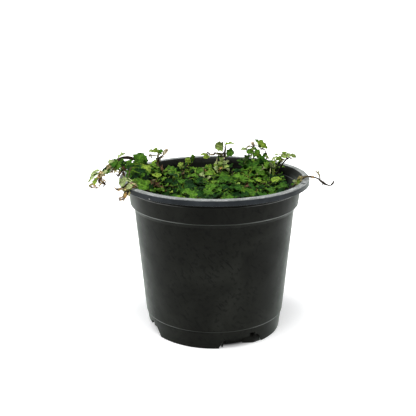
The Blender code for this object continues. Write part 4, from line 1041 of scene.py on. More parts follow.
def runner_points(root, heading, others, rng):
    """A runner's route over the soil, which stops before the mat's edge or another plantlet's ground."""
    x, y = root
    points = [Vector((x, y, soil_height(x, y) + RUNNER_HEIGHT / 2))]
    turn = rng.uniform(-RUNNER_TURN, RUNNER_TURN)
    step = RUNNER_LENGTH / RUNNER_STEPS
    for _ in range(RUNNER_STEPS):
        heading += turn
        x += step * math.cos(heading)
        y += step * math.sin(heading)
        own = math.hypot(x - root[0], y - root[1])
        nearest = min(math.hypot(x - a, y - b) for a, b in others)
        if not in_mat(x, y) or own + RUNNER_KEEP_OFF > nearest:
            break
        rise = RUNNER_LIFT_SHARE * (mat_height(x, y) - MAT_LEVEL)
        points.append(Vector((x, y, soil_height(x, y) + RUNNER_HEIGHT + max(0.0, rise))))
    return points


def free_of(solid, others):
    return not any(solid.meets(other) for other in others)


def grow_clump(number, root, roots, placed, rng):
    """One plantlet: its root, and runners that keep clear of every stem that is already there."""
    plant = Plant(f"creeping_clump_{number}")
    plant.add_stem(rooted(*root), ROOT_RADIUS, ROOT_RADIUS, STEM_SIDES)
    others = [other for other in roots if other != root]
    start = rng.uniform(0, math.tau)
    for count in range(RUNNERS_PER_CLUMP):
        for _ in range(RUNNER_TRIES):
            heading = start + math.tau * count / RUNNERS_PER_CLUMP
            heading += rng.uniform(-RUNNER_SPREAD, RUNNER_SPREAD)
            points = runner_points(root, heading, others, rng)
            if len(points) < 3:
                continue
            fat = tapered(points, RUNNER_RADIUS + NODE_CLEARANCE, RUNNER_TIP_RADIUS + NODE_CLEARANCE)
            if free_of(Solid(tube(points, fat, RUNNER_SIDES), plant.name, True), placed):
                plant.add_stem(points, RUNNER_RADIUS, RUNNER_TIP_RADIUS, RUNNER_SIDES)
                break
    return plant


def mat_targets(rng):
    """Places for the mat's leaves: a jittered triangular grid over the mat, in a mixed order."""
    targets = []
    row_height = MAT_SPACING * math.sqrt(3) / 2
    rows = math.ceil(MAT_RADIUS / row_height)
    for row in range(-rows, rows + 1):
        for column in range(-rows - 1, rows + 2):
            x = (column + 0.5 * (row % 2)) * MAT_SPACING + rng.uniform(-MAT_JITTER, MAT_JITTER)
            y = row * row_height + rng.uniform(-MAT_JITTER, MAT_JITTER)
            if in_mat(x, y):
                targets.append((x, y))
    rng.shuffle(targets)
    return targets


def leaf_draw(centre, spot, size, rng):
    """One random leaf about centre, roughly pointing away from the spot that it grows from."""
    length = rng.uniform(*MAT_LEAF_LENGTH) * size
    heading = math.atan2(centre.y - spot.y, centre.x - spot.x)
    heading += rng.uniform(-MAT_LEAF_HEADING, MAT_LEAF_HEADING)
    pitch = rng.uniform(*MAT_LEAF_PITCH)
    level = math.cos(pitch)
    along = Vector((math.cos(heading) * level, math.sin(heading) * level, math.sin(pitch)))
    face = Vector((rng.uniform(-0.4, 0.4), rng.uniform(-0.55, 0.25), 1))
    width = length * rng.uniform(*MAT_LEAF_WIDTH)
    return centre - along * length / 2, centre + along * length / 2, width, face


def place_leaf(x, y, plants, placed, rng):
    """Tries leaves about x, y until one clears everything, and adds it to a plantlet with a near runner.

    Later tries stray further from x, y and are smaller.
    """
    ground = Vector((x, y, soil_height(x, y) + RUNNER_HEIGHT))
    near = sorted(plants, key=lambda plant: (plant.nearest_spot(ground) - ground).length)[:3]
    for attempt in range(LEAF_TRIES):
        plant = near[attempt % len(near)]
        share = attempt / LEAF_TRIES
        stray = LARGEST_STRAY * share
        centre = Vector((x + rng.uniform(-stray, stray), y + rng.uniform(-stray, stray), 0))
        centre.z = mat_height(centre.x, centre.y) + rng.uniform(-MAT_LEAF_DEPTH - stray / 2, MAT_LEAF_RISE)
        size = 1 - (1 - SMALLEST_SHARE) * share
        heel, tip, width, face = leaf_draw(centre, plant.nearest_spot(ground), size, rng)
        root = plant.nearest_spot(heel)
        if not SHORTEST_PETIOLE < (heel - root).length < LONGEST_PETIOLE:
            continue
        shape = (root, heel, tip, width, face)
        leaf = Solid(leaf_solid(*shape), plant.name, False)
        wide = Solid(leaf_solid(*shape, NODE_CLEARANCE), plant.name, False)
        near_fit = Solid(leaf_solid(*shape, LEAF_CLEARANCE), plant.name, False)
        blade = Solid(leaf_solid(*shape, LEAF_CLEARANCE, petiole=False), plant.name, False)
        if not free_of(wide, [solid for solid in placed if solid.owner != plant.name]):
            continue
        if not free_of(near_fit, [solid for solid in plant.solids if not solid.is_stem]):
            continue
        if not free_of(blade, [solid for solid in plant.solids if solid.is_stem]):
            continue
        plant.solids.append(leaf)
        placed.append(leaf)
        middle = (heel + tip) / 2
        heel = middle.lerp(heel, MAT_LEAF_SHARE)
        tip = middle.lerp(tip, MAT_LEAF_SHARE)
        plant.leaves.append((root, heel, tip, width * MAT_LEAF_SHARE, face, None))
        return


# Shoots and small leaves between the larger ones


class Crowd:
    """Everything that new leaves keep clear of, with boxes in arrays for a quick first test."""

    def __init__(self, solids):
        self.solids = list(solids)
        self.low = np.array([solid.low for solid in solids])
        self.high = np.array([solid.high for solid in solids])

    def clear_of(self, solid):
        near = np.all((self.low <= solid.high) & (self.high >= solid.low), axis=1)
        return not any(solid.tree.overlap(self.solids[index].tree) for index in np.flatnonzero(near))

    def add(self, solid):
        self.solids.append(solid)
        self.low = np.vstack([self.low, solid.low])
        self.high = np.vstack([self.high, solid.high])


def kind_at(point, rng, small=True):
    """The kind of a leaf by its place: deep where it is low as painted shade, yellower in patches, and drawn
    elsewhere.
    """
    depth = mat_height(point.x, point.y) - point.z
    yellow = max(1 - math.hypot(point.x - x, point.y - y) / reach for x, y, reach in YELLOW_PATCHES)
    draw = rng.random()
    # Painted shade: leaves low in the mat get the deep or dark tone
    if depth > PAINTED_SHADE_FROM and draw < PAINTED_SHADE_SHARE:
        return "dark" if depth > PAINTED_DARK_SHADE_FROM else "deep"
    if draw < YELLOW_SHARE * yellow:
        return rng.choice(("lime", "fresh", "pale" if small else "lime", "fresh"))
    if draw > BROWN_FROM and small:
        return "brown"
    return rng.choices(MAT_KINDS, BACK_SHARES if point.y > BACK_FROM else FRONT_SHARES)[0]


def add_blade(plant, crowd, leaf):
    """Adds a leaf to a plant if its blade is clear of the crowd, and tells whether it did."""
    *form, _ = leaf
    solid = Solid(leaf_solid(*form, petiole=False), plant.name, False)
    heel = leaf[1]
    behind = heel.y > BACK_EDGE and heel.x < BACK_EDGE_RIGHT
    if behind and solid.high[2] > BACK_CEILING or not crowd.clear_of(solid):
        return False
    crowd.add(solid)
    plant.leaves.append(leaf)
    return True


def grow_shoot(plant, crowd, base, heading, rng):
    """A thin shoot that arches out of a runner, with leaves left and right in turn."""
    length = rng.uniform(*SHOOT_LENGTH)
    lift = rng.uniform(*SHOOT_LIFT)
    turn = rng.uniform(-SHOOT_TURN, SHOOT_TURN)
    steps = max(3, round(length / SHOOT_LEAF_STEP))
    points = [base]
    for step in range(steps):
        heading += turn / steps
        slope = lift * SHOOT_STEEPNESS * (1 - 1.5 * step / steps)
        way = Vector((math.cos(heading), math.sin(heading), slope)).normalized()
        points.append(points[-1] + way * (length / steps))
    if not in_mat(points[-1].x * 0.99, points[-1].y * 0.99):
        return
    grown = False
    for step, point in enumerate(points[1:], start=1):
        onward = (point - points[step - 1]).normalized()
        hand = 1 if step % 2 else -1
        size = rng.uniform(*SHOOT_LEAF_LENGTH) * (1 - 0.35 * step / steps)
        for _ in range(SHOOT_TRIES):
            side = Vector((-onward.y, onward.x, 0)).normalized() * hand
            spread = rng.uniform(0.5, 1.3)
            aim = (onward + side * spread + UP * rng.uniform(-0.25, 0.5)).normalized()
            heel = point + aim * rng.uniform(*SHOOT_PETIOLE)
            tip = heel + aim * size
            face = Vector((rng.uniform(-0.5, 0.5), rng.uniform(-0.8, 0.2), 1)) - onward * 0.2
            kind = kind_at((heel + tip) / 2, rng)
            width = size * rng.uniform(*SMALL_LEAF_WIDTH)
            if add_blade(plant, crowd, (point, heel, tip, width, face, kind)):
                grown = True
                break
            hand = -hand
    if grown:
        plant.stems.append((points, *SHOOT_RADII))


def grow_spray(plant, pot, start, end, count, lengths, kinds, rng):
    """A short side shoot with leaves all round it, which stay out of the pot's wall."""
    start = Vector(start)
    end = Vector(end)
    span = end - start
    middle = start.lerp(end, 0.5) + UP * (SPRAY_ARCH * span.length)
    points = [start, start.lerp(middle, 0.5), middle, middle.lerp(end, 0.5), end]
    plant.stems.append((points, *SPRAY_RADII))
    onward = span.normalized()
    side = onward.cross(UP).normalized()
    other = side.cross(onward)
    turn = rng.uniform(0, math.tau)
    lowest, highest = SPRAY_SLOPES
    for index in range(count):
        share = (index + rng.uniform(0.3, 0.9)) / count
        point = start.lerp(middle, 2 * share) if share < 0.5 else middle.lerp(end, 2 * share - 1)
        for _ in range(SPRAY_TRIES):
            turn += SPRAY_TURN + rng.uniform(-0.4, 0.4)
            out = side * math.cos(turn) + other * math.sin(turn)
            if not lowest < out.z < highest:
                continue
            size = rng.uniform(*lengths)
            aim = (out + onward * rng.uniform(-0.1, 0.9) + UP * rng.uniform(-0.3, 0.3)).normalized()
            heel = point + aim * rng.uniform(*SPRAY_PETIOLE)
            tip = heel + aim * size
            face = Vector((rng.uniform(-0.6, 0.6), rng.uniform(-1.0, 0.3), 1.0))
            blade = Solid(leaf_solid(point, heel, tip, size, face, SPRAY_GAP, petiole=False), plant.name, False)
            if not blade.meets(pot):
                width = size * rng.uniform(*SMALL_LEAF_WIDTH)
                plant.leaves.append((point, heel, tip, width, face, rng.choice(kinds)))
                break


def dress_plant(plant, twigs, leaves):
    """Gives a standing plant its fine twigs and leaves."""
    for route, start, end in twigs:
        points = [Vector(point) for point in route]
        plant.stems.append((points, start, end))
        for one, other in zip(points, points[1:]):
            plant.spots += [one, one.lerp(other, 0.5), other]
    for heel, tip, width, tilt, kind in leaves:
        heel = Vector(heel)
        tip = Vector(tip)
        along = (tip - heel).normalized()
        level = (FRONT - along * FRONT.dot(along)).normalized()
        upward = along.cross(level)
        if upward.z < 0:
            upward = -upward
        turn = math.radians(tilt)
        face = level * math.cos(turn) + upward * math.sin(turn)
        plant.leaves.append((plant.nearest_spot(heel), heel, tip, width, face, kind))


def fill_leaf(plants, crowd, rng):
    """One small leaf at a random place in the mat, on a petiole from the nearest stem."""
    for _ in range(FILL_TRIES):
        distance = (MAT_RADIUS + 1) * math.sqrt(rng.random())
        angle = rng.uniform(0, math.tau)
        x = distance * math.cos(angle)
        y = distance * math.sin(angle)
        if not in_mat(x * 0.98, y * 0.98):
            continue
        centre = Vector((x, y, mat_height(x, y) + rng.uniform(*FILL_RISE)))
        plant = min(plants, key=lambda plant: (plant.nearest_spot(centre) - centre).length)
        spot = plant.nearest_spot(centre)
        size = rng.uniform(*FILL_LEAF_LENGTH)
        heading = math.atan2(centre.y - spot.y, centre.x - spot.x) + rng.uniform(-1.2, 1.2)
        aim = Vector((math.cos(heading), math.sin(heading), rng.uniform(-0.5, 0.5))).normalized()
        heel = centre - aim * size / 2
        tip = centre + aim * size / 2
        face = Vector((rng.uniform(-0.9, 0.9), rng.uniform(-1.2, 0.4), 1))
        kind = kind_at(centre, rng)
        width = size * rng.uniform(*SMALL_LEAF_WIDTH)
        if add_blade(plant, crowd, (plant.nearest_spot(heel), heel, tip, width, face, kind)):
            return


# Fine meshes


class Shape:
    """Points, faces and each point's attributes, collected part by part."""

    def __init__(self):
        self.points = []
        self.faces = []
        self.place = []
        self.tone = []
        self.count = 0

    def add(self, points, faces, place=(0, 0, 0), tone=0.0):
        points = np.asarray(points, float)
        self.points.append(points)
        self.faces += [[index + self.count for index in face] for face in faces]
        self.place.append(np.broadcast_to(np.asarray(place, float), points.shape))
        self.tone.append(np.full(len(points), tone))
        self.count += len(points)


def new_object(name, data):
    made = bpy.data.objects.new(name, data)
    bpy.context.scene.collection.objects.link(made)
    return made


def new_mesh(name, points, faces):
    """A mesh object in metres from points in millimetres."""
    mesh = bpy.data.meshes.new(name)
    mesh.from_pydata((np.asarray(points, float) * METRES).tolist(), [], faces)
    return new_object(name, mesh)


def make_piece(name, shape, material, node, sharp=None):
    """Makes a piece of a shape that rides on the part's body and stands for a node."""
    piece = new_mesh(name, np.concatenate(shape.points), shape.faces)
    mesh = piece.data
    place = mesh.attributes.new("leaf_place", "FLOAT_VECTOR", "POINT")
    place.data.foreach_set("vector", np.concatenate(shape.place).ravel())
    tone = mesh.attributes.new("leaf_tone", "FLOAT", "POINT")
    tone.data.foreach_set("value", np.concatenate(shape.tone))
    mesh.shade_smooth()
    if sharp is not None:
        mesh.set_sharp_from_angle(angle=math.radians(sharp))
    mesh.materials.append(material)
    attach(piece, "root")
    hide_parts(node)
    return piece


def smooth_values(knots, places):
    """Values at places on a smooth curve through (place, value) knots."""
    at = np.array([knot[0] for knot in knots], float)
    values = np.array([knot[1] for knot in knots], float)
    slopes = np.gradient(values, at)
    index = np.clip(np.searchsorted(at, places, side="right") - 1, 0, len(at) - 2)
    span = at[index + 1] - at[index]
    share = (places - at[index]) / span
    start = (2 * share ** 3 - 3 * share ** 2 + 1) * values[index]
    start += (share ** 3 - 2 * share ** 2 + share) * span * slopes[index]
    end = (3 * share ** 2 - 2 * share ** 3) * values[index + 1]
    end += (share ** 3 - share ** 2) * span * slopes[index + 1]
    return start + end


def leaf_faces():
    """Quads of the upper and lower grids and of the rim that joins them."""
    rows, columns = LEAF_ROWS, LEAF_COLUMNS
    lower = rows * columns
    faces = []
    for row in range(rows - 1):
        for column in range(columns - 1):
            one = row * columns + column
            two, three, four = one + 1, one + columns + 1, one + columns
            faces.append((one, two, three, four))
            faces.append((lower + four, lower + three, lower + two, lower + one))
    edge = list(range(columns))
    edge += [row * columns + columns - 1 for row in range(1, rows)]
    edge += [(rows - 1) * columns + column for column in range(columns - 2, -1, -1)]
    edge += [row * columns for row in range(rows - 2, 0, -1)]
    for one, two in zip(edge, edge[1:] + edge[:1]):
        faces.append((two, one, lower + one, lower + two))
    return faces


LEAF_FACES = leaf_faces()
ROW_PLACES = np.linspace(0, 1, LEAF_ROWS)
COLUMN_PLACES = np.linspace(-1, 1, LEAF_COLUMNS)
HALF_WIDTHS = [np.clip(smooth_values(outline, ROW_PLACES), NARROWEST_HALF, None) for outline in OUTLINES]


def fine_leaf(shape, leaf, rng):
    """A thin lobed blade with a folded midrib, an arch, a twist and puckered lobes, on a round petiole."""
    root, heel, tip, width, face, kind = leaf
    tones, bend, roll = KINDS[kind]
    tone = rng.uniform(*tones)
    along = (tip - heel).normalized()
    length = (tip - heel).length
    across = face.cross(along).normalized()
    normal = along.cross(across)
    half = rng.choices(HALF_WIDTHS, OUTLINE_SHARES)[0] * rng.uniform(*LEAF_SPREAD)
    skew = rng.uniform(-LEAF_SKEW, LEAF_SKEW)

    share, side = np.meshgrid(ROW_PLACES, COLUMN_PLACES, indexing="ij")
    reach = np.abs(side)
    spread = half[:, None] * (1 + skew * side) * width
    sideways = spread * side
    forward = share * length + LOBE_FORWARD * spread * reach ** 2 * (share - 0.12)
    lift = roll * np.abs(sideways) + LEAF_ARCH * share * (1 - share) * length
    lift += (bend - FRESH_BEND) * length * (4 * share * (1 - share))
    pucker = np.sin(share * math.tau * PUCKERS + rng.uniform(0, 6)) * reach
    lift += PUCKER_DEPTH * width * pucker
    lift -= 0.2 * roll * np.abs(sideways) ** 2 / max(width, 1)
    lift += sideways * rng.uniform(-LEAF_TWIST, LEAF_TWIST) * (share - 0.3)
    if bend > DRIED_BEND:
        lift += DRIED_WAVE * width * np.sin(share * 9 + side * 4 + rng.uniform(0, 6))
        sideways = sideways * (1 - DRIED_CURL * reach)

    axes = np.array([along, across, normal])
    middle = np.stack([forward, sideways, lift], axis=-1) @ axes + np.array(heel)
    thick = (EDGE_THICKNESS + (BLADE_THICKNESS - EDGE_THICKNESS) * (1 - reach)) / 2
    offset = thick[..., None] * np.array(normal)
    grid = np.concatenate([(middle + offset).reshape(-1, 3), (middle - offset).reshape(-1, 3)])
    upper = np.stack([side, share, np.zeros_like(side)], axis=-1).reshape(-1, 3)
    lower = upper + (0, 0, 1)
    shape.add(grid, LEAF_FACES, np.concatenate([upper, lower]), tone)

    entry = heel + along * (0.06 * length) + normal * (0.02 * length)
    sag = Vector((0, 0, 0.12 * (heel - root).length))
    points = [root, root.lerp(heel, 0.35) + sag, root.lerp(heel, 0.7) + sag, heel, entry]
    vertices, faces = tube(points, tapered(points, *FINE_PETIOLE_RADII), FINE_PETIOLE_SIDES)
    shape.add(vertices, faces, tone=min(tone, rng.uniform(*PETIOLE_TONE)))


def smooth_route(points, step):
    """Points about a step apart on a smooth curve through the given ones."""
    marks = [0.0]
    for one, other in zip(points, points[1:]):
        marks.append(marks[-1] + (other - one).length)
    count = max(4, round(marks[-1] / step))
    places = np.linspace(0, marks[-1], count + 1)
    curves = []
    for axis in range(3):
        knots = [(mark, point[axis]) for mark, point in zip(marks, points)]
        curves.append(smooth_values(knots, places))
    return [Vector(point) for point in zip(*curves)]


def fine_stem(shape, stem, rng):
    """A stem with small kinks, a swelling at every third point and a thin tip."""
    points, start, end = stem
    route = smooth_route(points, FINE_STEM_STEP)
    for point in route[1:-1]:
        point += Vector([rng.uniform(-1, 1) for _ in range(3)]) * FINE_STEM_KINK
    radii = tapered(route, start, end)
    radii = [radius * (STEM_SWELLING if index % 3 == 1 else STEM_WAIST) for index, radius in enumerate(radii)]
    radii[-1] *= STEM_TIP_SHARE
    vertices, faces = tube(route, radii, FINE_STEM_SIDES)
    shape.add(vertices, faces, tone=rng.random())


# Materials


class Nodes:
    """A node tree with its shader, and short forms for the nodes that feed it."""

    def __init__(self, owner, shader="Principled BSDF"):
        owner.use_nodes = True
        self.tree = owner.node_tree
        self.shader = self.tree.nodes[shader]

    def feed(self, node, inputs):
        """Links a node's inputs to outputs, or sets them to values."""
        for socket, value in inputs.items():
            if isinstance(value, bpy.types.NodeSocket):
                self.tree.links.new(value, node.inputs[socket])
            else:
                node.inputs[socket].default_value = value

    def add(self, kind, inputs, output, **settings):
        """Adds a node and returns one of its outputs."""
        node = self.tree.nodes.new("ShaderNode" + kind)
        for setting, value in settings.items():
            setattr(node, setting, value)
        self.feed(node, inputs)
        return node.outputs[output]

    def place(self):
        return self.add("TexCoord", {}, "Object")

    def attribute(self, name, output):
        return self.add("Attribute", {}, output, attribute_name=name)

    def axis(self, vector, name):
        return self.add("SeparateXYZ", {"Vector": vector}, name)

    def radius(self, place):
        """How far a place is from the Z axis."""
        level = self.add("VectorMath", {0: place, 1: (1, 1, 0)}, "Vector", operation="MULTIPLY")
        return self.add("VectorMath", {0: level}, "Value", operation="LENGTH")

    def ramp(self, factor, stops):
        """A colour ramp's output for a factor, with stops as (place, colour)."""
        output = self.add("ValToRGB", {"Fac": factor}, "Color")
        elements = output.node.color_ramp.elements
        while len(elements) < len(stops):
            elements.new(0.5)
        for element, (place, colour) in zip(elements, stops):
            element.position = place
            element.color = (*colour, 1)
        return output

    def band(self, value, low, high, start=0.0, end=1.0):
        """A smooth step of a value from start at low to end at high."""
        inputs = {"Value": value, "From Min": low, "From Max": high, "To Min": start, "To Max": end}
        return self.add("MapRange", inputs, "Result", interpolation_type="SMOOTHSTEP")

    def maths(self, operation, first, second=0.0):
        return self.add("Math", {0: first, 1: second}, "Value", operation=operation)

    def times(self, first, second):
        return self.maths("MULTIPLY", first, second)

    def mixed(self, factor, first, second, blend="MIX"):
        return self.add("Mix", {0: factor, 6: first, 7: second}, 2, data_type="RGBA", blend_type=blend)

    def noise(self, place, scale, detail=4.0, distortion=0.0):
        inputs = {"Vector": place, "Scale": scale, "Detail": detail, "Distortion": distortion}
        return self.add("TexNoise", inputs, "Fac")

    def bump(self, strength, distance, height):
        return self.add("Bump", {"Strength": strength, "Distance": distance, "Height": height}, "Normal")

    def line_at(self, height, at, reach):
        """1 at a height, falling to 0 within a reach of it; both are in millimetres."""
        off = self.maths("ABSOLUTE", self.maths("SUBTRACT", height, at * METRES))
        return self.band(off, 0.0, reach * METRES, 1.0, 0.0)

    def spot_at(self, place, centre, reach):
        """1 about a point, falling to 0 within a reach of it; both are in millimetres."""
        middle = tuple(value * METRES for value in centre)
        off = self.add("VectorMath", {0: place, 1: middle}, "Value", operation="DISTANCE")
        return self.band(off, 0.5 * reach * METRES, reach * METRES, 1.0, 0.0)


def new_material(name):
    material = bpy.data.materials.new(name)
    return material, Nodes(material)


def leaf_veins(nodes, spot):
    """Veins of a leaf at a spot in its own outline, and veins with the pale margin."""
    reach = nodes.maths("ABSOLUTE", nodes.axis(spot, "X"))
    midrib = nodes.band(reach, 0.03, 0.16, 1.0, 0.0)
    slanted = nodes.maths("SUBTRACT", nodes.axis(spot, "Y"), nodes.times(reach, 0.3))
    ridge = nodes.maths("PINGPONG", nodes.times(slanted, 5.0), 0.5)
    veins = nodes.maths("MAXIMUM", midrib, nodes.band(ridge, 0.0, 0.12, 0.75, 0.0))
    margin = nodes.band(reach, 0.8, 1.0, 0.0, 0.8)
    return veins, nodes.maths("MAXIMUM", veins, margin)


def leaf_material():
    """Green blades from one tone value, with pale veins, mottling, a paler underside and shade low in the mat."""
    material, nodes = new_material("fig_leaf")
    place = nodes.place()
    spot = nodes.attribute("leaf_place", "Vector")
    colour = nodes.ramp(nodes.attribute("leaf_tone", "Fac"), LEAF_TONES)
    veins, pale_parts = leaf_veins(nodes, spot)
    pale = nodes.mixed(1.0, colour, VEIN_TINT, "MULTIPLY")
    colour = nodes.mixed(nodes.times(pale_parts, 0.65), colour, pale)
    mottle = nodes.band(nodes.noise(place, 420), 0.32, 0.68, 0.55, 1.35)
    low = nodes.band(nodes.axis(place, "Z"), 0.1125, 0.1195, 0.85, 0.0)
    inside = nodes.band(nodes.radius(place), 0.068, 0.073, 1.0, 0.0)
    light = nodes.times(mottle, nodes.maths("SUBTRACT", 1.0, nodes.times(low, inside)))
    shade = nodes.add("CombineXYZ", {0: light, 1: light, 2: light}, "Vector")
    colour = nodes.mixed(1.0, colour, shade, "MULTIPLY")
    below = nodes.mixed(0.45, colour, UNDERSIDE)
    relief = nodes.maths("SUBTRACT", nodes.times(nodes.noise(place, 520, 3.0), 1.6), veins)
    nodes.feed(nodes.shader, {
        "Base Color": nodes.mixed(nodes.axis(spot, "Z"), colour, below),
        "Roughness": nodes.band(nodes.noise(place, 900), 0.3, 0.7, 0.36, 0.58),
        "Normal": nodes.bump(0.75, 0.0005, relief),
        "Specular IOR Level": 0.04,
    })
    return material


def stem_material():
    """Brown bark that runs to olive, with a fine grain."""
    material, nodes = new_material("fig_stem")
    place = nodes.place()
    patch = nodes.noise(place, 260)
    tone = nodes.times(nodes.attribute("leaf_tone", "Fac"), 0.35)
    nodes.feed(nodes.shader, {
        "Base Color": nodes.ramp(nodes.maths("ADD", tone, nodes.times(patch, 0.65)), BARK_TONES),
        "Roughness": nodes.band(patch, 0.3, 0.7, 0.55, 0.8),
        "Normal": nodes.bump(0.5, 0.0003, nodes.noise(place, 1600)),
        "Specular IOR Level": 0.15,
    })
    return material


def moulding_wear_and_highlight(nodes, place, height):
    """Patchy pale lines along the mouldings, partly wear and partly painted highlight that fades towards the
    middle of the front and back, where the edges catch less light.
    """
    wear_and_highlight = 0.0
    for at, reach in WORN_AND_LIT_LINES:
        wear_and_highlight = nodes.maths("MAXIMUM", wear_and_highlight, nodes.line_at(height, at, reach))
    sideways = nodes.maths("ABSOLUTE", nodes.axis(place, "X"))
    # Painted highlight: the lines are paler at the sides, where the edges catch the light
    wear_and_highlight = nodes.times(wear_and_highlight, nodes.band(sideways, 0.015, 0.055))
    return nodes.times(wear_and_highlight, nodes.band(nodes.noise(place, 60), 0.3, 0.6, 0.35, 1.0))


def flange_colour_and_reflection(nodes, colour, place, height):
    """Adds the flange's greyer skirt and its scuffed top to the pot's colour; the top's pale tones are a painted
    reflection of the bright surround.
    """
    radius = nodes.radius(place)
    edge = RIM_RADIUS - FLANGE_WIDTH
    outer = nodes.band(radius, (edge - 0.5) * METRES, edge * METRES)
    skirt = nodes.times(outer, nodes.band(height, (BAND_TOP - 0.6) * METRES, BAND_TOP * METRES))
    colour = nodes.mixed(nodes.times(skirt, 0.9), colour, nodes.ramp(nodes.noise(place, 90), SKIRT_TONES))
    # Painted reflection: the flange's top is coloured pale, as the bright surround makes it look
    top = nodes.times(outer, nodes.band(height, (POT_HEIGHT - 0.9) * METRES, (POT_HEIGHT - 0.2) * METRES))
    turn = nodes.maths("ARCTAN2", nodes.axis(place, "Y"), nodes.axis(place, "X"))
    round_rim = nodes.add("CombineXYZ", {0: nodes.times(radius, 900.0), 1: nodes.times(turn, 7.0)}, "Vector")
    streaks = nodes.times(nodes.noise(round_rim, 1.0), 0.6)
    scuffs_and_reflection = nodes.maths("ADD", streaks, nodes.times(nodes.noise(place, 700), 0.4))
    return nodes.mixed(nodes.times(top, 0.9), colour, nodes.ramp(scuffs_and_reflection, FLANGE_TOP_REFLECTION_TONES))


def plastic_material():
    """Dark moulded plastic: a thin film of dust, darker smudges, scratches, edges of wear and painted highlight,
    and a painted reflection on the flange top.
    """
    material, nodes = new_material("pot_plastic")
    place = nodes.place()
    height = nodes.axis(place, "Z")
    colour = nodes.ramp(nodes.noise(place, 24, 5.0, 0.6), PLASTIC_TONES)
    smudges = nodes.band(nodes.noise(place, 300), 0.52, 0.66)
    colour = nodes.mixed(nodes.times(smudges, 0.5), colour, SMUDGE)
    slanted = nodes.add("Mapping", {"Vector": place, "Rotation": (0.0, 0.7, 0.0)}, "Vector")
    drawn_out = nodes.add("Mapping", {"Vector": slanted, "Scale": (620, 120, 130)}, "Vector")
    scratches = nodes.band(nodes.noise(drawn_out, 1.0, 2.0), 0.62, 0.68)
    colour = nodes.mixed(nodes.times(scratches, 0.65), colour, SMUDGE)
    # Pale moulding lines of wear and painted highlight
    colour = nodes.mixed(moulding_wear_and_highlight(nodes, place, height), colour, WORN_AND_HIGHLIGHT)
    # The flange's skirt, and its top with painted reflection
    colour = flange_colour_and_reflection(nodes, colour, place, height)
    colour = nodes.mixed(nodes.spot_at(place, *RIM_CHIP), colour, CHIPPED)
    rough = nodes.band(nodes.noise(place, 70), 0.3, 0.7, 0.4, 0.56)
    grain = nodes.times(nodes.noise(place, 1400, 2.0), 0.12)
    swell = nodes.times(nodes.noise(place, 35, 2.0), 1.5)
    nodes.feed(nodes.shader, {
        "Base Color": nodes.mixed(nodes.spot_at(place, *SKIRT_SPECK), colour, SPECK),
        "Roughness": nodes.maths("SUBTRACT", rough, nodes.times(smudges, 0.1)),
        "Normal": nodes.bump(0.35, 0.0004, nodes.maths("ADD", grain, swell)),
        "Specular IOR Level": 0.05,
        "Sheen Weight": 0.5,
        "Sheen Roughness": 0.3,
        "Sheen Tint": DUST_TINT,
    })
    return material


def soil_material():
    """Dark, damp, fibrous potting mix with paler grains."""
    material, nodes = new_material("soil_mix")
    place = nodes.place()
    clods = nodes.noise(place, 160, 8.0)
    tone = nodes.times(nodes.attribute("leaf_tone", "Fac"), 0.25)
    nodes.feed(nodes.shader, {
        "Base Color": nodes.ramp(nodes.maths("ADD", nodes.times(clods, 0.75), tone), SOIL_TONES),
        "Roughness": nodes.band(clods, 0.3, 0.7, 0.7, 0.95),
        "Normal": nodes.bump(0.8, 0.001, nodes.noise(place, 500, 8.0)),
    })
    return material


# Pot and soil


def rounded(profile, radius):
    """A profile with each corner replaced by a short curve that starts and ends a radius away from it."""
    points = [profile[0]]
    for before, corner, after in zip(profile, profile[1:], profile[2:]):
        before, corner, after = (Vector((*point, 0)) for point in (before, corner, after))
        into = corner - before
        out = after - corner
        size = min(radius, into.length / 2.2, out.length / 2.2)
        start = corner - into.normalized() * size
        end = corner + out.normalized() * size
        for step in range(CORNER_STEPS + 1):
            share = step / CORNER_STEPS
            point = start.lerp(corner, share).lerp(corner.lerp(end, share), share)
            points.append((point.x, point.y))
    points.append(profile[-1])
    return points


def way_at(degrees):
    """The level direction that is some degrees from the front towards +X."""
    turn = math.radians(degrees)
    return Vector((math.sin(turn), -math.cos(turn), 0))


def notch_cutter(centre):
    """A block round the foot whose sides slope in towards its top."""
    vertices = []
    for step in range(NOTCH_STEPS + 1):
        share = 2 * step / NOTCH_STEPS - 1
        for radius in (FOOT_RADIUS - NOTCH_DEPTH, FOOT_TOP_RADIUS + 3):
            for half_width, height in ((NOTCH_HALF_FLOOR, -1), (NOTCH_HALF_TOP, NOTCH_HEIGHT)):
                vertices.append(way_at(centre + share * half_width) * radius + UP * height)
    last = 4 * NOTCH_STEPS
    faces = [(2, 3, 1, 0), (last + 1, last + 3, last + 2, last)]
    for first in range(0, last, 4):
        for one, other in ((0, 1), (1, 3), (3, 2), (2, 0)):
            faces.append((first + one, first + other, first + 4 + other, first + 4 + one))
    return new_mesh("notch_cutter", vertices, faces)


def drain_cutter(centre):
    """A narrow block that opens the corner of the base plate and the foot."""
    outward = way_at(centre)
    side = Vector((-outward.y, outward.x, 0)) * DRAIN_WIDTH / 2
    corners = []
    inner, outer = (FOOT_RADIUS + reach for reach in DRAIN_REACH)
    for height in (DRAIN_LOW, DRAIN_TOP):
        for radius, way in ((inner, -1), (outer, -1), (outer, 1), (inner, 1)):
            corners.append(outward * radius + side * way + UP * height)
    faces = [(3, 2, 1, 0), (4, 5, 6, 7), (0, 1, 5, 4), (1, 2, 6, 5), (2, 3, 7, 6), (3, 0, 4, 7)]
    return new_mesh("drain_cutter", corners, faces)


def cut_away(piece, cutters):
    """Cuts the cutters out of a piece, and removes them."""
    scene = bpy.context.scene.collection
    group = bpy.data.collections.new("cutters")
    scene.children.link(group)
    for cutter in cutters:
        group.objects.link(cutter)
        scene.objects.unlink(cutter)
    cut = piece.modifiers.new("Cut", "BOOLEAN")
    cut.operation = "DIFFERENCE"
    cut.operand_type = "COLLECTION"
    cut.collection = group
    cut.solver = "EXACT"
    evaluated = piece.evaluated_get(bpy.context.evaluated_depsgraph_get())
    result = bpy.data.meshes.new_from_object(evaluated)
    piece.modifiers.clear()
    piece.data = result
    for cutter in cutters:
        bpy.data.objects.remove(cutter)
    bpy.data.collections.remove(group)


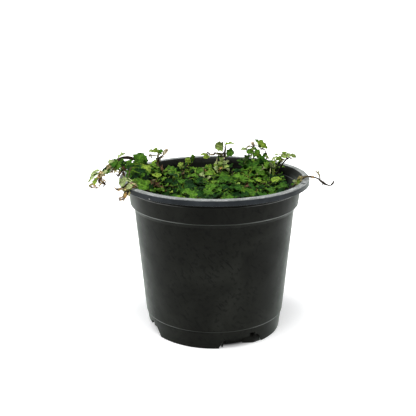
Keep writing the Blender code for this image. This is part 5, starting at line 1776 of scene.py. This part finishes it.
def build_pot(plastic):
    """The moulded pot with rounded edges, its bead, its drain notches and slots."""
    profile = rounded(pot_outside(BEAD_SIZE) + pot_inside(), CORNER_ROUNDING)
    shape = Shape()
    shape.add(*turned(profile, FINE_SIDES))
    pot = make_piece("moulded_pot", shape, plastic, "nursery_pot")
    cutters = [notch_cutter(centre) for centre in NOTCH_CENTRES]
    cutters += [drain_cutter(centre + DRAIN_ANGLE) for centre in NOTCH_CENTRES]
    cut_away(pot, cutters)
    pot.data.shade_smooth()
    pot.data.set_sharp_from_angle(angle=math.radians(38))


def notch_web():
    """The web that closes the front notch at its right end."""
    points = []
    for step in range(WEB_STEPS + 1):
        share = step / WEB_STEPS
        way = way_at(WEB_START + (WEB_END - WEB_START) * share)
        outer = WEB_OUTER[0] + (WEB_OUTER[1] - WEB_OUTER[0]) * min(1.0, 2 * share)
        corners = ((WEB_INNER, WEB_LOW), (outer, WEB_LOW), (outer, WEB_TOP), (WEB_INNER, WEB_TOP))
        points += [way * radius + UP * height for radius, height in corners]
    faces = [(0, 1, 2, 3), tuple(4 * WEB_STEPS + corner for corner in (3, 2, 1, 0))]
    for near in range(0, 4 * WEB_STEPS, 4):
        for corner in range(4):
            after = (corner + 1) % 4
            faces.append((near + corner, near + 4 + corner, near + 4 + after, near + after))
    return points, faces


def torn_flash():
    """The torn bit of flash at the front notch's left end."""
    points = []
    for radius in (FLASH_RADIUS - FLASH_THICKNESS, FLASH_RADIUS):
        points += [way_at(turn) * radius + UP * height for turn, height in FLASH_OUTLINE]
    count = len(FLASH_OUTLINE)
    faces = [tuple(range(count)), tuple(range(2 * count - 1, count - 1, -1))]
    for corner in range(count):
        after = (corner + 1) % count
        faces.append((corner, corner + count, after + count, after))
    return points, faces


def build_notch_ends(plastic):
    shape = Shape()
    shape.add(*notch_web())
    shape.add(*torn_flash())
    make_piece("notch_ends", shape, plastic, "nursery_pot")


def build_soil(earth):
    """The soil's body, with a crumbly surface."""
    profile = [(max(0, radius - SOIL_GAP), height + SOIL_GAP) for radius, height in reversed(pot_cavity())]
    profile += [(SOIL_EDGE * (SOIL_RINGS - ring) / SOIL_RINGS, SOIL_LEVEL) for ring in range(SOIL_RINGS + 1)]
    vertices, faces = turned(profile, SOIL_SIDES)
    points = []
    for x, y, z in vertices:
        if z == SOIL_LEVEL:
            place = Vector((x, y, 0))
            rough = noise.noise(place * 0.22) + 0.7 * noise.noise(place * 0.6) + 0.4 * noise.noise(place * 1.3)
            z = soil_height(x, y) + SOIL_GRAIN * rough
        points.append((x, y, z))
    shape = Shape()
    shape.add(points, faces)
    make_piece("soil_body", shape, earth, "potting_soil", sharp=50)


def build_crumbs(earth, rng):
    """Loose crumbs and chips that lie on the soil."""
    lump, faces = turned(CRUMB_PROFILE, CRUMB_SIDES)
    crumbs = Shape()
    for _ in range(CRUMB_COUNT):
        distance = (SOIL_EDGE - CRUMB_MARGIN) * math.sqrt(rng.random())
        angle = rng.uniform(0, math.tau)
        centre = Vector((distance * math.cos(angle), distance * math.sin(angle), 0))
        centre.z = soil_height(centre.x, centre.y) + rng.uniform(*CRUMB_RISE)
        sizes = Vector([rng.uniform(*limits) for limits in CRUMB_SIZES])
        turn = rng.uniform(0, math.tau)
        along = Vector((math.cos(turn), math.sin(turn), 0))
        across = Vector((-math.sin(turn), math.cos(turn), 0))
        points = []
        for x, y, z in lump:
            swell = rng.uniform(*CRUMB_SWELL)
            spoke = along * (x * sizes.x) + across * (y * sizes.y) + UP * (z * sizes.z)
            points.append(centre + spoke * swell)
        crumbs.add(points, faces, tone=rng.random())
    make_piece("soil_crumbs", crumbs, earth, "potting_soil", sharp=40)


# Stage


def area_light(name, place, size, energy):
    light = bpy.data.lights.new(name, "AREA")
    light.shape = "DISK"
    light.size = size
    light.energy = energy
    made = new_object(name, light)
    made.location = place
    made.rotation_euler = (LIGHT_TARGET - Vector(place)).to_track_quat("-Z", "Y").to_euler()


def build_floor():
    """A pale floor that glows, with a painted shadow: no glow where the pot stands, less near it, and more
    further out.
    """
    reach = FLOOR_REACH
    corners = [(-reach, -reach, 0), (reach, -reach, 0), (reach, reach, 0), (-reach, reach, 0)]
    floor = new_mesh("floor", corners, [(0, 1, 2, 3)])
    material, nodes = new_material("pale_floor")
    radius = nodes.radius(nodes.place())
    # Painted shadow: the glow is off under the pot and weaker near it
    glow_with_painted_shadow = nodes.times(nodes.band(radius, 0.047, 0.053), nodes.band(radius, 0.1, 0.9, 0.44, 1.1))
    nodes.feed(nodes.shader, {
        "Base Color": FLOOR_COLOUR,
        "Roughness": 0.9,
        "Specular IOR Level": 0.1,
        "Emission Color": (1, 1, 1, 1),
        "Emission Strength": glow_with_painted_shadow,
    })
    floor.data.materials.append(material)


def build_surround():
    """A surround that is white to look at and lights the part more from behind than from the front."""
    world = bpy.data.worlds.new("surround")
    bpy.context.scene.world = world
    nodes = Nodes(world, "Background")
    backward = nodes.axis(nodes.add("TexCoord", {}, "Generated"), "Y")
    dimmed = nodes.band(backward, -0.7, 0.1, 0.073, 0.545)
    seen = nodes.add("LightPath", {}, "Is Camera Ray")
    nodes.feed(nodes.shader, {"Color": SURROUND_COLOUR, "Strength": nodes.maths("MAXIMUM", seen, dimmed)})


def place_camera():
    camera = bpy.data.cameras.new("camera")
    camera.sensor_width = CAMERA_SENSOR
    camera.lens = CAMERA_LENS
    camera.shift_x = CAMERA_SHIFT
    camera.clip_start = 0.01
    camera.clip_end = 200.0
    holder = new_object("camera", camera)
    holder.location = CAMERA_PLACE
    holder.rotation_euler = (math.pi / 2 - CAMERA_DIP, 0, 0)
    bpy.context.scene.camera = holder
    bpy.context.scene.view_settings.view_transform = "Standard"


def build_plants():
    """Grows the plants by their rule, then adds shoots, small leaves and fine detail."""
    rng = random.Random(SEED)
    standing = [standing_plant(name, plan) for name, plan in STANDING.items()]
    roots = clump_roots()
    pot = Solid(turned(pot_outside() + pot_inside(), POT_SIDES), "nursery_pot", True)
    placed = [pot]
    placed += [solid for plant in standing for solid in plant.solids]
    clumps = []
    for number, root in enumerate(roots, start=1):
        clump = grow_clump(number, root, roots, placed, rng)
        placed += clump.solids
        clumps.append(clump)
    for x, y in mat_targets(rng):
        place_leaf(x, y, clumps, placed, rng)

    crowd = Crowd(placed)
    for index in range(SHOOTS):
        clump = clumps[index % len(clumps)]
        base = rng.choice(clump.free_spots())
        grow_shoot(clump, crowd, base, rng.uniform(0, math.tau), rng)
    for _ in range(FILL_LEAVES):
        fill_leaf(clumps, crowd, rng)
    plants = {plant.name: plant for plant in standing + clumps}
    for name, *spray in SPRAYS:
        grow_spray(plants[name], pot, *spray, rng)
    for plant in standing:
        dress_plant(plant, TWIGS[plant.name], FINE_LEAVES[plant.name])
    return plants.values()


def build_fig():
    """Each plant as a piece of leaves and a piece of stems."""
    green = leaf_material()
    bark = stem_material()
    rng = random.Random(29)
    for plant in build_plants():
        leaves = Shape()
        stems = Shape()
        for root, heel, tip, width, face, kind in plant.leaves:
            kind = kind or kind_at((heel + tip) / 2, rng, small=False)
            fine_leaf(leaves, (root, heel, tip, width, face, kind), rng)
        for stem in plant.stems:
            fine_stem(stems, stem, rng)
        make_piece(plant.name + "_leaves", leaves, green, plant.name, sharp=60)
        make_piece(plant.name + "_stems", stems, bark, plant.name)


def main():
    plastic = plastic_material()
    earth = soil_material()
    build_pot(plastic)
    build_notch_ends(plastic)
    build_soil(earth)
    build_crumbs(earth, random.Random(3))
    build_fig()
    build_floor()
    build_surround()
    for light in LIGHTS:
        area_light(*light)
    place_camera()


main()
